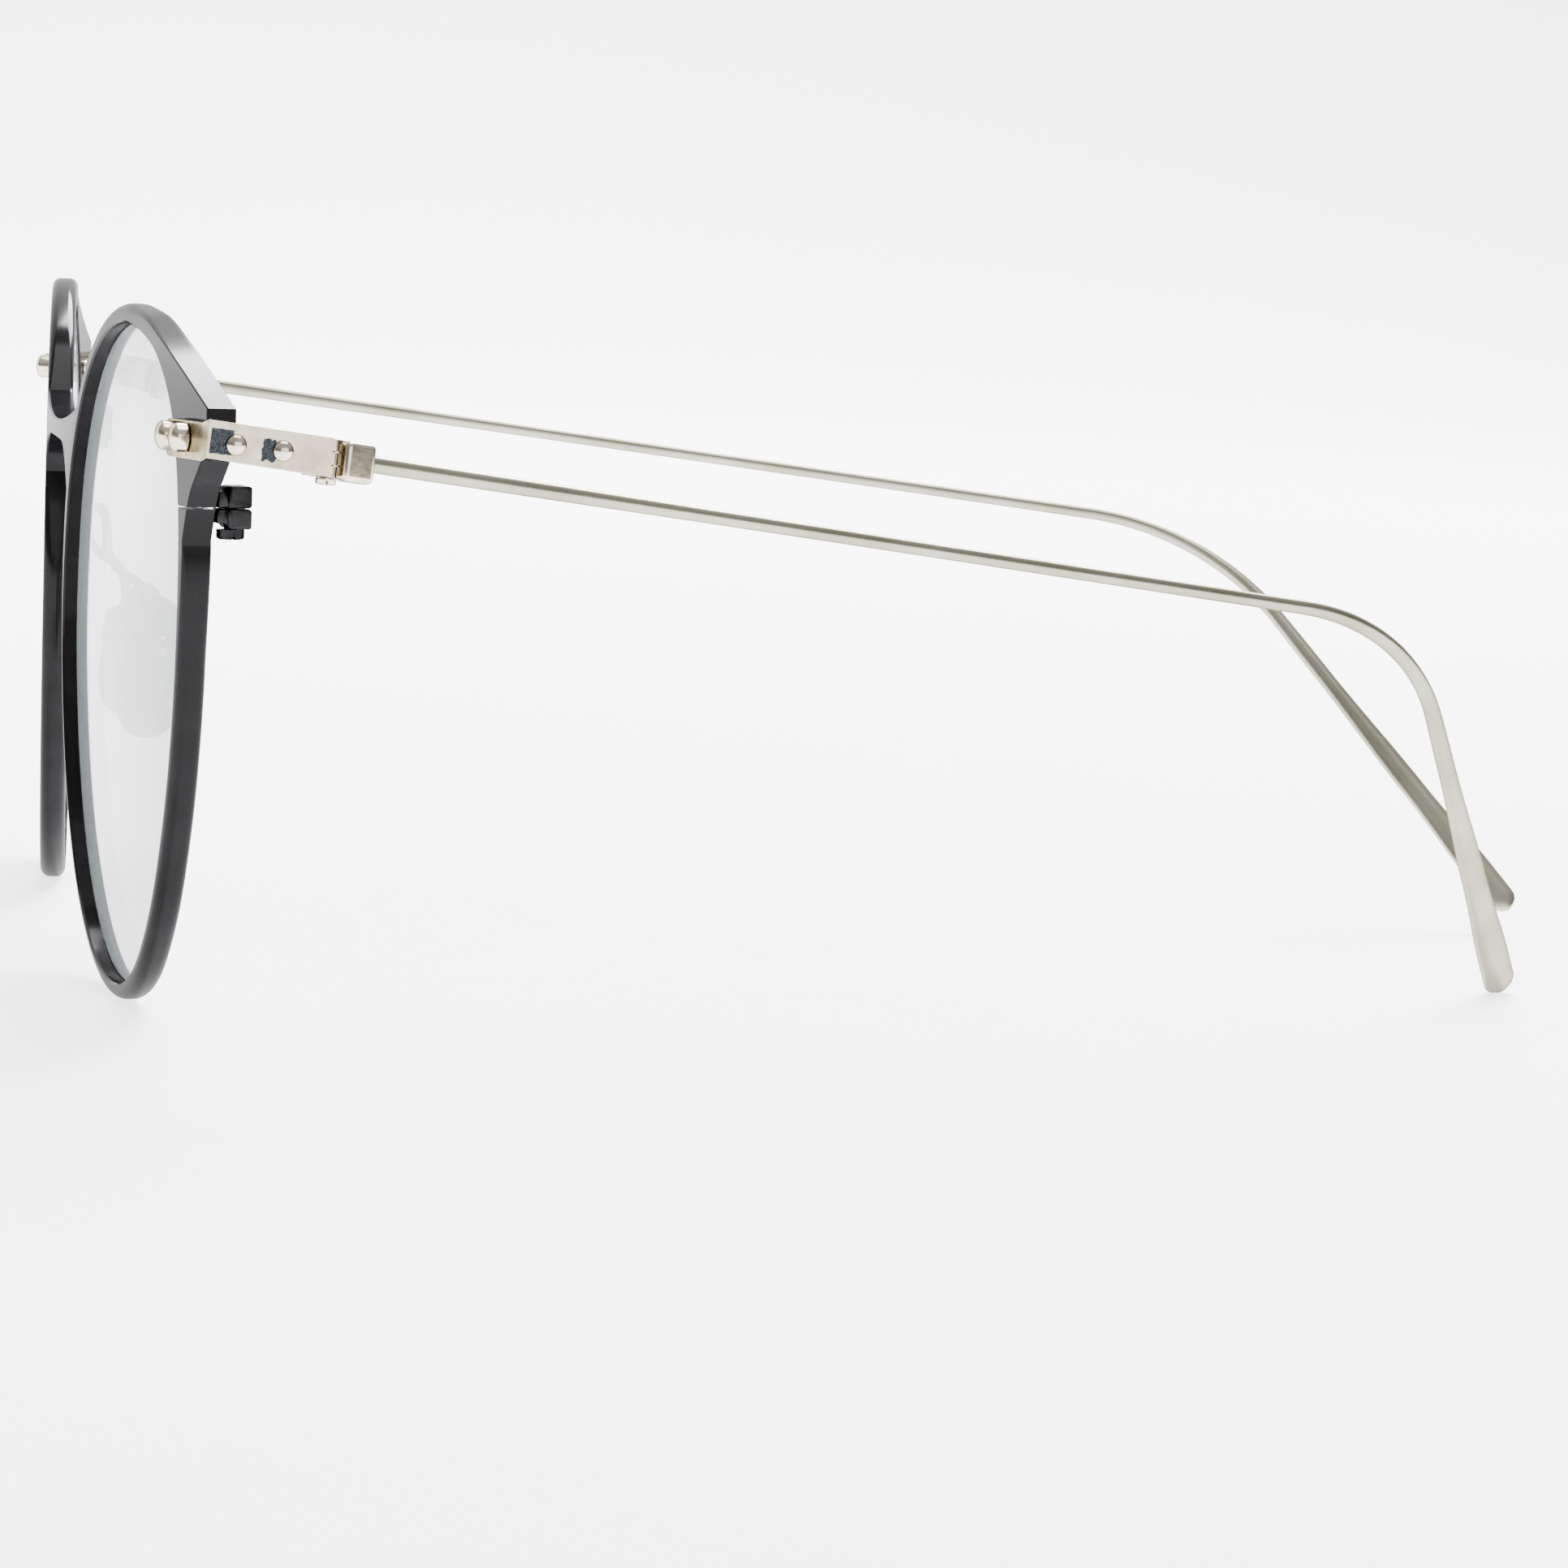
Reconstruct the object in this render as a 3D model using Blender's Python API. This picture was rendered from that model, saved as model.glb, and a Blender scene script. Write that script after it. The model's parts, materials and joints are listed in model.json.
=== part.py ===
"""Flat-cut round eyeglasses with slim wire temples, built as an assembly of separate parts.

Run with: blender --background --python part.py

The front faces -Y, the temples run towards +Y and +X is the wearer's left. The pair rests on
the bottoms of its rims and on the tip of its left temple, with both temples partly folded in.
"""
import math

import bmesh
import bpy
from mathutils import Matrix, Vector

MM = 0.001
LEFT = 1
RIGHT = -1
SIDES = ((LEFT, "left"), (RIGHT, "right"))

# Clearances between neighbouring solids.
GAP = 0.1 * MM
PIN_CLEARANCE = 0.06 * MM
# How far a cutting tool reaches, to pass right through any of the small parts.
THROUGH = 3 * MM

# Front: two flat-cut rims, the lugs that carry the endpieces, and a plate bridge.
EYE_CENTRE_X = 35.5 * MM
WRAP = math.radians(4.7)
TILT = math.radians(2.0)
RIM_DEPTH = 2.06 * MM
RIM_WALL = 1.18 * MM
BROW_WALL = 0.18 * MM
RIM_STATIONS = 88
GROOVE_DEPTH = 0.45 * MM
GROOVE_HALF_WIDTH = 0.36 * MM
INNER_SOFT_EDGE = 0.14 * MM
OUTER_SOFT_EDGE = 0.14 * MM
OUTER_ROUND = 0.82 * MM
BACK_ROUND = 0.15 * MM
EDGE_STEPS = 2
LUG_BEND_START = 14.0 * MM
LUG_BEND_RADIUS = 105.0 * MM
SPLIT_HEIGHT = 12.15 * MM
SPLIT_WIDTH = 0.14 * MM

# The eye opening, clockwise from the top: towards the temple, then up, in millimetres.
EYE_OUTLINE = (
    (-0.5, 24.1), (8.5, 23.6), (16.0, 21.9), (20.9, 18.1), (23.0, 12.0), (23.3, 4.5),
    (22.5, -3.2), (20.4, -10.6), (16.6, -17.2), (10.4, -21.9), (2.0, -23.95), (-7.0, -22.8),
    (-15.2, -18.4), (-21.0, -11.6), (-24.1, -3.0), (-24.2, 5.4), (-21.7, 13.0), (-16.2, 18.9),
    (-9.0, 22.5),
)
# The lug's edge: its upper line, its end, and the curve that runs back into the rim.
LUG_UPPER = ((9.5, 24.95), (14.4, 24.0), (18.9, 22.9), (23.2, 21.6), (26.4, 20.45), (29.5, 19.2))
LUG_LOWER = ((29.6, 16.6), (27.7, 14.8), (25.9, 13.0))
# Where the lug and the bridge join the rim, as shares of the way round the eye opening.
LUG_FROM = 0.032
LUG_CORNER = 0.146
LUG_TO = 0.205
BRIDGE_FROM = 0.864
BRIDGE_TO = 0.818
# How rounded the front's outer edge is, by the share of the way round: flat cut only at the lug.
ROUNDNESS = (
    (0.0, 0.9), (0.05, 0.5), (0.10, 0.0), (0.21, 0.0), (0.255, 1.0), (0.76, 1.0), (0.80, 0.4),
    (0.82, 0.1), (0.86, 0.1), (0.89, 0.6), (1.0, 0.9),
)
BRIDGE_COLUMNS = 14
BRIDGE_TOP = 15.55 * MM
BRIDGE_HEIGHT = 1.5 * MM
BRIDGE_FORWARD = 2.05 * MM

# Lenses: shallow menisci with a bevelled edge that stands in the groove.
LENS_SEAT = 0.45 * MM
LENS_EDGE_THICKNESS = 0.8 * MM
LENS_DOME = 1.0 * MM
LENS_BEVEL = 0.25 * MM
LENS_INSET = 0.12 * MM
LENS_RINGS = 3

# Closing blocks behind the outer side of each rim, with their screw.
BLOCK_U = 24.2 * MM
BLOCK_HALF_WIDTH = 1.3 * MM
BLOCK_DEPTH = 2.4 * MM
BLOCK_NECK = 0.65 * MM
BLOCK_SPLIT_WIDTH = 0.06 * MM
BLOCK_UPPER_HEIGHT = 1.55 * MM
BLOCK_LOWER_HEIGHT = 1.42 * MM
CLOSING_SCREW_HEAD_RADIUS = 0.98 * MM
CLOSING_SCREW_HEAD_HEIGHT = 0.7 * MM
CLOSING_SCREW_RADIUS = 0.45 * MM

# Hinge: its axis leans in at the top, so that a temple drops a little as it folds.
HINGE = Vector((65.5, 11.35, 15.7)) * MM
HINGE_SLOPE = math.radians(8.0)
HINGE_LEAN = math.radians(5.4)
LEFT_FOLD = math.radians(22.8)
RIGHT_FOLD = math.radians(7.0)
KNUCKLE_RADIUS = 1.15 * MM
KNUCKLE_HALF_HEIGHT = 0.42 * MM
HINGE_HALF_HEIGHT = 1.32 * MM
HINGE_PIN_RADIUS = 0.4 * MM
HINGE_SCREW_HEAD_RADIUS = 0.72 * MM
HINGE_SCREW_HEAD_HEIGHT = 0.42 * MM

# Endpiece: a strip riveted to the front of the lug, bent back to the hinge.
TAB_FROM = 22.4 * MM
TAB_HEIGHT = 2.62 * MM
TAB_THICKNESS = 0.75 * MM
TAB_CENTRE = (16.95 * MM, 17.0 * MM)
PLATE_OUTER = 2.4 * MM
PLATE_THICKNESS = 1.05 * MM
PLATE_LENGTH = 8.55 * MM
PLATE_HEIGHT = 2.66 * MM
PLATE_RISE = 0.18 * MM
ENDPIECE_CHAMFER = 0.22 * MM
LEAF_OUTER = PLATE_OUTER - PLATE_THICKNESS - GAP
LEAF_THICKNESS = 0.85 * MM
LEAF_LENGTH = 7.75 * MM
LEAF_HALF_HEIGHT = 1.05 * MM
LEAF_END = -1.2 * MM
# The webs that carry the knuckles: inner side, outer side and how far they reach.
LEAF_WEB = (0.1 * MM, 1.1 * MM, -1.7 * MM)
BLOCK_WEB = (0.2 * MM, 1.1 * MM, 0.5 * MM)

# Rivets.
FRONT_RIVETS = (("outer", 27.7 * MM), ("inner", 24.5 * MM))
RIVET_RISE = 0.15 * MM
FRONT_RIVET_HEAD = (1.0 * MM, 1.2 * MM)
FRONT_RIVET_CROWN = 0.42
FRONT_RIVET_SHANK = 0.4 * MM
FRONT_RIVET_TAIL = (0.62 * MM, 0.3 * MM)
SIDE_RIVETS = (("front", -6.6 * MM), ("rear", -3.4 * MM))
SIDE_RIVET_HEAD = (0.72 * MM, 0.5 * MM)
SIDE_RIVET_CROWN = 0.92
SIDE_RIVET_SHANK = 0.3 * MM
SIDE_RIVET_TAIL = (0.5 * MM, 0.22 * MM)

# Temple: a block with the middle knuckle, and a wire that ends in a flattened tip.
TEMPLE_BLOCK_LENGTH = 2.4 * MM
TEMPLE_BLOCK_TOP = 1.28 * MM
TEMPLE_BLOCK_BOTTOM = -1.48 * MM
TEMPLE_BLOCK_INNER = 0.45 * MM
TEMPLE_BLOCK_ROUND = 0.4 * MM
SOCKET_DEPTH = 0.6 * MM
WIRE_OFFSET = 1.4 * MM
WIRE_STRAIGHT = 85.3 * MM
WIRE_BEND_RADIUS = 24.3 * MM
WIRE_BEND_ANGLE = math.radians(48.0)
WIRE_DROP = 33.7 * MM
WIRE_DROP_INWARD = math.radians(33.5)
WIRE_SIDES = 12
# Along the wire, as a share of its length: its height and its width.
WIRE_SIZES = (
    (0.00, 1.22, 1.20), (0.30, 1.06, 1.04), (0.55, 1.08, 1.04), (0.70, 1.22, 1.06),
    (0.80, 1.50, 1.04), (0.90, 2.15, 1.00), (0.97, 2.75, 0.96),
)

# Nose pads: an arm from the rim, a box, a screw that the pad rocks on, and the pad.
PAD_ARM_PATH = (
    (11.6, -0.42, 9.2), (11.5, 0.1, 9.0), (10.9, 0.5, 7.6), (10.3, 0.65, 5.4),
    (9.9, 1.7, 4.0), (9.8, 2.95, 3.1), (9.75, 3.5, 1.6), (9.75, 3.55, -0.2),
)
PAD_ARM_RADIUS = 0.38 * MM
PAD_BOX_CENTRE = Vector((9.75, 3.2, -1.8)) * MM
PAD_BOX_SIZE = Vector((1.7, 2.7, 2.9)) * MM
PAD_FLARE = math.radians(32.0)
PAD_SPLAY = math.radians(16.0)
PAD_SLOT_WIDTH = 1.3 * MM
PAD_SLOT_END = 0.35 * MM
PAD_SEAT_DEPTH = 0.3 * MM
PAD_SCREW_RADIUS = 0.35 * MM
PAD_SCREW_HEAD = (0.85 * MM, 0.7 * MM)
PAD_STANDOFF = 1.25 * MM
PAD_HALF_WIDTH = 3.0 * MM
PAD_HALF_HEIGHT = 5.6 * MM
PAD_THICKNESS = 1.5 * MM
PAD_DROP = 1.2 * MM

ROUND_SIDES = 16


def clear_scene():
    for existing in list(bpy.data.objects):
        bpy.data.objects.remove(existing, do_unlink=True)


def make_material(name, colour, metallic, roughness, alpha=1.0):
    material = bpy.data.materials.new(name)
    material.use_nodes = True
    shader = material.node_tree.nodes["Principled BSDF"]
    shader.inputs["Base Color"].default_value = (*colour, 1.0)
    shader.inputs["Metallic"].default_value = metallic
    shader.inputs["Roughness"].default_value = roughness
    shader.inputs["Alpha"].default_value = alpha
    return material


def make_empty(name, parent, matrix):
    empty = bpy.data.objects.new(name, None)
    bpy.context.scene.collection.objects.link(empty)
    empty.parent = parent
    empty.matrix_local = matrix
    empty.empty_display_size = 5 * MM
    return empty


def make_part(name, shape, material, parent, side=LEFT):
    """Turns a bmesh into a named object. The right side is the left one mirrored in X."""
    for vertex in shape.verts:
        vertex.co.x *= side
    bmesh.ops.recalc_face_normals(shape, faces=shape.faces)
    if shape.calc_volume(signed=True) < 0:
        bmesh.ops.reverse_faces(shape, faces=shape.faces)
    mesh = bpy.data.meshes.new(name)
    shape.to_mesh(mesh)
    shape.free()
    mesh.shade_smooth()
    mesh.set_sharp_from_angle(angle=math.radians(32))
    mesh.materials.append(material)
    part = bpy.data.objects.new(name, mesh)
    bpy.context.scene.collection.objects.link(part)
    part.parent = parent
    return part


def apply_tool(part, shape, parent, side, operation):
    """Adds a Boolean with an EXACT solver. The tool stays in the file, hidden from renders."""
    name = f"tool_{part.name}_{len(part.modifiers)}"
    tool = make_part(name, shape, part.data.materials[0], parent, side)
    tool.hide_render = True
    tool.display_type = "WIRE"
    boolean = part.modifiers.new(name, "BOOLEAN")
    boolean.operation = operation
    boolean.object = tool


def add_chamfer(part, width, segments=1):
    bevel = part.modifiers.new("chamfer", "BEVEL")
    bevel.width = width
    bevel.segments = segments
    bevel.limit_method = "ANGLE"
    bevel.angle_limit = math.radians(50)


# ---------------------------------------------------------------- shapes

def box_shape(low, high, matrix=Matrix()):
    shape = bmesh.new()
    bmesh.ops.create_cube(shape, size=1.0)
    for vertex in shape.verts:
        share = vertex.co + Vector((0.5, 0.5, 0.5))
        corner = [a + (b - a) * s for a, b, s in zip(low, high, share)]
        vertex.co = matrix @ Vector(corner)
    return shape


def turned_shape(profile, matrix=Matrix(), sides=ROUND_SIDES):
    """A solid turned about local Z. The profile's (radius, height) points start and end at radius 0."""
    shape = bmesh.new()
    start = shape.verts.new(matrix @ Vector((0, 0, profile[0][1])))
    end = shape.verts.new(matrix @ Vector((0, 0, profile[-1][1])))
    rings = []
    for radius, height in profile[1:-1]:
        ring = []
        for i in range(sides):
            angle = 2 * math.pi * i / sides
            point = Vector((radius * math.cos(angle), radius * math.sin(angle), height))
            ring.append(shape.verts.new(matrix @ point))
        rings.append(ring)
    for i in range(sides):
        j = (i + 1) % sides
        shape.faces.new((start, rings[0][i], rings[0][j]))
        shape.faces.new((end, rings[-1][j], rings[-1][i]))
        for upper, lower in zip(rings, rings[1:]):
            shape.faces.new((upper[i], lower[i], lower[j], upper[j]))
    return shape


def cylinder_shape(radius, low, high, matrix=Matrix(), sides=ROUND_SIDES):
    profile = ((0, low), (radius, low), (radius, high), (0, high))
    return turned_shape(profile, matrix, sides)


def lofted_shape(sections):
    """Joins closed sections of equal point counts, and closes both ends."""
    shape = bmesh.new()
    loops = [[shape.verts.new(point) for point in section] for section in sections]
    count = len(loops[0])
    for here, there in zip(loops, loops[1:]):
        for i in range(count):
            j = (i + 1) % count
            shape.faces.new((here[i], here[j], there[j], there[i]))
    shape.faces.new(loops[0])
    shape.faces.new(reversed(loops[-1]))
    return shape


def rivet_profile(head, crown, shank, grip, tail):
    """A head whose top crown share is domed, a shank through the grip, and a small tail below it."""
    head_radius, head_height = head
    tail_radius, tail_height = tail
    drop = crown * head_height
    return (
        (0, head_height),
        (0.5 * head_radius, head_height - 0.13 * drop),
        (0.87 * head_radius, head_height - 0.5 * drop),
        (head_radius, head_height - drop),
        (head_radius, 0),
        (shank, 0),
        (shank, -grip),
        (tail_radius, -grip),
        (0.7 * tail_radius, -grip - tail_height),
        (0, -grip - tail_height),
    )


def smooth_curve(points, closed, per_span):
    """Points along a Catmull-Rom curve through the given ones."""
    count = len(points)
    spans = count if closed else count - 1
    result = []
    for i in range(spans):
        around = []
        for k in (i - 1, i, i + 1, i + 2):
            index = k % count if closed else min(max(k, 0), count - 1)
            around.append(Vector(points[index]))
        before, start, end, after = around
        for step in range(per_span):
            t = step / per_span
            result.append(0.5 * (
                2 * start
                + (end - before) * t
                + (2 * before - 5 * start + 4 * end - after) * t * t
                + (3 * start - before - 3 * end + after) * t ** 3
            ))
    if not closed:
        result.append(Vector(points[-1]))
    return result


def point_along(line, share):
    """The point at a share of an open line's length."""
    lengths = [0.0]
    for here, there in zip(line, line[1:]):
        lengths.append(lengths[-1] + (there - here).length)
    wanted = share * lengths[-1]
    for i, reached in enumerate(lengths[1:]):
        if reached >= wanted or i == len(line) - 2:
            step = max(reached - lengths[i], 1e-12)
            return line[i].lerp(line[i + 1], min(1.0, (wanted - lengths[i]) / step))


# ---------------------------------------------------------------- frames of reference

def rim_matrix(side):
    """Rim axes: X towards the temple, Y back and Z up, before the right side is mirrored."""
    turn = Matrix.Rotation(side * WRAP, 4, "Z") @ Matrix.Rotation(-TILT, 4, "X")
    return Matrix.Translation((side * EYE_CENTRE_X, 0, 0)) @ turn


def hinge_matrix(side):
    """Hinge axes: X outward, Y along the open temple and Z up the hinge pin."""
    place = Matrix.Translation((side * HINGE.x, HINGE.y, HINGE.z))
    slope = Matrix.Rotation(-HINGE_SLOPE, 4, "X")
    return place @ slope @ Matrix.Rotation(-side * HINGE_LEAN, 4, "Y")


def bend_back(u):
    """How far the outer part of the front curves back from the rim's plane."""
    return max(0.0, u - LUG_BEND_START) ** 2 / (2 * LUG_BEND_RADIUS)


def rim_point(u, y, v):
    return Vector((u, y + bend_back(u), v))


def lug_matrix(u, v):
    """Axes on the lug's front face: Z forward out of the face, at its front surface."""
    slope = max(0.0, u - LUG_BEND_START) / LUG_BEND_RADIUS
    place = Matrix.Translation(rim_point(u, -RIM_DEPTH / 2, v))
    return place @ Matrix.Rotation(math.atan(slope), 4, "Z") @ Matrix.Rotation(math.pi / 2, 4, "X")


# ---------------------------------------------------------------- front frame and lenses

def eye_line():
    """The eye opening's edge, evenly spaced, clockwise from the top, and its outward normals."""
    raw = smooth_curve([(u * MM, v * MM) for u, v in EYE_OUTLINE], True, 12)
    raw.append(raw[0].copy())
    points = [point_along(raw, i / RIM_STATIONS) for i in range(RIM_STATIONS)]
    normals = []
    for i in range(RIM_STATIONS):
        run = points[(i + 1) % RIM_STATIONS] - points[i - 1]
        normals.append(Vector((-run.y, run.x)).normalized())
    return points, normals


def outer_line(points, normals):
    """The front's outer edge beside each station: the rim's wall, and the lug where it stands out."""
    outer = [p + n * (RIM_WALL + BROW_WALL * max(0.0, n.y)) for p, n in zip(points, normals)]
    first = round(LUG_FROM * RIM_STATIONS)
    last = round(LUG_TO * RIM_STATIONS)
    corner = round(LUG_CORNER * RIM_STATIONS)
    upper = [outer[first]] + [Vector(p) * MM for p in LUG_UPPER]
    lower = [Vector(p) * MM for p in LUG_LOWER] + [outer[last]]
    upper = smooth_curve(upper, False, 8)
    lower = smooth_curve(lower, False, 8)
    for i in range(first, corner + 1):
        outer[i] = point_along(upper, (i - first) / (corner - first))
    for i in range(corner + 1, last + 1):
        outer[i] = point_along(lower, (i - corner - 1) / (last - corner - 1))
    return outer


def roundness_at(station):
    """How rounded the outer edge is at a station, from 0 to 1."""
    share = station / RIM_STATIONS
    for (start, low), (end, high) in zip(ROUNDNESS, ROUNDNESS[1:]):
        if share <= end:
            return low + (high - low) * (share - start) / (end - start)
    return ROUNDNESS[-1][1]


def corner_steps(radius):
    """A quarter round: how far in from the edge, and how far from the face, from face to edge."""
    steps = []
    for i in range(EDGE_STEPS + 1):
        angle = math.pi / 2 * i / EDGE_STEPS
        steps.append((radius * (1 - math.sin(angle)), radius * (1 - math.cos(angle))))
    return steps


def edge_steps(roundness):
    """Across the outer edge from front to back: how far in from the edge, and the depth."""
    front = OUTER_SOFT_EDGE + (OUTER_ROUND - OUTER_SOFT_EDGE) * roundness
    back = BACK_ROUND + (OUTER_ROUND - BACK_ROUND) * roundness
    steps = [(inset, depth - RIM_DEPTH / 2) for inset, depth in corner_steps(front)]
    return steps + [(inset, RIM_DEPTH / 2 - depth) for inset, depth in reversed(corner_steps(back))]


EDGE_POINTS = 2 * EDGE_STEPS + 2


def rim_section(inner, normal, outer, roundness):
    """One cross-section of the rim: a rounded wall with the lens groove on its inner side."""
    outward = (outer - inner).normalized()
    section = [(outer - outward * inset, depth) for inset, depth in edge_steps(roundness)]
    half = RIM_DEPTH / 2
    soft = INNER_SOFT_EDGE
    section += [
        (inner + normal * soft, half),
        (inner, half - soft),
        (inner, LENS_SEAT + GROOVE_HALF_WIDTH),
        (inner + normal * GROOVE_DEPTH, LENS_SEAT),
        (inner, LENS_SEAT - GROOVE_HALF_WIDTH),
        (inner, soft - half),
        (inner + normal * soft, -half),
    ]
    return [rim_point(flat.x, y, flat.y) for flat, y in section]


def bridge_point(end, row, step, share):
    """A point between the bridge's two ends; share runs from -1 at the right to 1 at the left."""
    inset, depth = edge_steps(0.0)[step]
    middle = BRIDGE_TOP - BRIDGE_HEIGHT * row
    if row == 0:
        middle -= inset
    elif row == 1:
        middle += inset
    height = middle + (end.z - middle) * abs(share) ** (2.0 + 4.0 * row)
    centre = depth - BRIDGE_FORWARD + middle * math.tan(TILT)
    return Vector((end.x * share, centre + (end.y - centre) * share * share, height))


def bridge_outline(bottom):
    """The closed outline of the bridge's section, as (row, point across the edge) pairs."""
    last = EDGE_POINTS - 1
    outline = [(row, 0) for row in range(bottom + 1)]
    outline += [(bottom, step) for step in range(1, last)]
    outline += [(row, last) for row in range(bottom, -1, -1)]
    return outline + [(0, step) for step in range(last - 1, 0, -1)]


def front_frame_shape():
    """Two rims whose facing outer walls open into one bridge."""
    points, normals = eye_line()
    outer = outer_line(points, normals)
    rounded = [roundness_at(i) for i in range(RIM_STATIONS)]
    sections = [rim_section(*station) for station in zip(points, normals, outer, rounded)]
    first = round(BRIDGE_FROM * RIM_STATIONS)
    last = round(BRIDGE_TO * RIM_STATIONS)
    rows = list(range(first, last - 1, -1))
    shape = bmesh.new()
    rings = {}
    for side, _ in SIDES:
        ring = []
        for section in sections:
            places = [rim_matrix(LEFT) @ point for point in section]
            ring.append([shape.verts.new((side * p.x, p.y, p.z)) for p in places])
        rings[side] = ring
        count = len(sections[0])
        for i in range(RIM_STATIONS):
            j = (i + 1) % RIM_STATIONS
            in_bridge = i in rows and j in rows
            for k in range(count):
                if in_bridge and k < EDGE_POINTS - 1:
                    continue
                m = (k + 1) % count
                shape.faces.new((ring[i][k], ring[j][k], ring[j][m], ring[i][m]))
    bottom = len(rows) - 1
    grid = []
    for column in range(BRIDGE_COLUMNS + 1):
        share = 1 - 2 * column / BRIDGE_COLUMNS
        loop = []
        for row, step in bridge_outline(bottom):
            if column in (0, BRIDGE_COLUMNS):
                side = LEFT if column == 0 else RIGHT
                loop.append(rings[side][rows[row]][step])
            else:
                end = rings[LEFT][rows[row]][step].co
                loop.append(shape.verts.new(bridge_point(end, row / bottom, step, share)))
        grid.append(loop)
    for here, there in zip(grid, grid[1:]):
        for i in range(len(here)):
            j = (i + 1) % len(here)
            shape.faces.new((here[i], here[j], there[j], there[i]))
    return shape


def lens_shape():
    """A shallow dome with a bevelled edge, on the same stations as the eye opening."""
    points, normals = eye_line()
    half = LENS_EDGE_THICKNESS / 2
    shape = bmesh.new()
    faces = {}
    for face in (-1, 1):
        rings = []
        for ring in range(1, LENS_RINGS + 1):
            share = ring / LENS_RINGS
            loop = []
            for point, normal in zip(points, normals):
                flat = (point - normal * LENS_INSET) * share
                y = LENS_SEAT + face * half - LENS_DOME * (1 - share * share)
                loop.append(shape.verts.new(rim_point(flat.x, y, flat.y)))
            rings.append(loop)
        centre = shape.verts.new((0, LENS_SEAT + face * half - LENS_DOME, 0))
        for i in range(RIM_STATIONS):
            j = (i + 1) % RIM_STATIONS
            shape.faces.new((centre, rings[0][i], rings[0][j]))
            for a, b in zip(rings, rings[1:]):
                shape.faces.new((a[i], b[i], b[j], a[j]))
        faces[face] = rings[-1]
    crest = []
    for point, normal in zip(points, normals):
        flat = point + normal * LENS_BEVEL
        crest.append(shape.verts.new(rim_point(flat.x, LENS_SEAT, flat.y)))
    for i in range(RIM_STATIONS):
        j = (i + 1) % RIM_STATIONS
        for face in (-1, 1):
            edge = faces[face]
            shape.faces.new((edge[i], crest[i], crest[j], edge[j]))
    return shape


# ---------------------------------------------------------------- closing blocks

def closing_screw_matrix():
    """The closing screw's axis, upright behind the rim's outer side."""
    slope = (BLOCK_U - LUG_BEND_START) / LUG_BEND_RADIUS
    back = RIM_DEPTH / 2 + 1.5 * GAP + BLOCK_DEPTH / 2
    turn = Matrix.Rotation(math.atan(slope), 4, "Z")
    return Matrix.Translation(rim_point(BLOCK_U, back, SPLIT_HEIGHT)) @ turn


def block_shape(low, high):
    """Half a closing block: a narrower neck at the rim, then the body."""
    half_depth = BLOCK_DEPTH / 2
    centre = closing_screw_matrix()
    neck = BLOCK_NECK - half_depth
    middle = low if low > 0 else high
    sections = []
    for y, width, reach in (
        (-half_depth, 0.72, 0.74), (neck, 0.72, 0.74), (neck + 0.16 * MM, 1.0, 1.0),
        (half_depth, 1.0, 1.0),
    ):
        x = BLOCK_HALF_WIDTH * width
        bottom = middle + (low - middle) * reach
        top = middle + (high - middle) * reach
        corners = ((-x, bottom), (x, bottom), (x, top), (-x, top))
        sections.append([centre @ Vector((a, y, b)) for a, b in corners])
    return lofted_shape(sections)


def add_closing_block(side, name, rim, material):
    """Two block halves that meet at the rim's split, drawn together by one screw."""
    centre = closing_screw_matrix()
    shift = BLOCK_SPLIT_WIDTH / 2
    for half, low, high in (
        ("upper", shift, BLOCK_UPPER_HEIGHT),
        ("lower", -BLOCK_LOWER_HEIGHT, -shift),
    ):
        shape = block_shape(low, high)
        block = make_part(f"closing_block_{half}_{name}", shape, material, rim, side)
        add_chamfer(block, 0.2 * MM)
        bore = CLOSING_SCREW_RADIUS + PIN_CLEARANCE
        reach = 2 * BLOCK_UPPER_HEIGHT
        apply_tool(block, cylinder_shape(bore, -reach, reach, centre), rim, side, "DIFFERENCE")
    top = BLOCK_UPPER_HEIGHT - 0.2 * MM
    under = -BLOCK_LOWER_HEIGHT - GAP / 2
    radius = CLOSING_SCREW_HEAD_RADIUS
    bottom = under - CLOSING_SCREW_HEAD_HEIGHT
    profile = (
        (0, top), (CLOSING_SCREW_RADIUS, top), (CLOSING_SCREW_RADIUS, under), (radius, under),
        (radius, bottom + 0.2 * MM), (0.8 * radius, bottom), (0, bottom),
    )
    screw = make_part(f"closing_screw_{name}", turned_shape(profile, centre), material, rim, side)
    slot = box_shape(
        (-2 * radius, -0.1 * MM, bottom - GAP), (2 * radius, 0.1 * MM, bottom + 0.25 * MM), centre
    )
    apply_tool(screw, slot, rim, side, "DIFFERENCE")


# ---------------------------------------------------------------- endpieces, rivets and hinges

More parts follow.
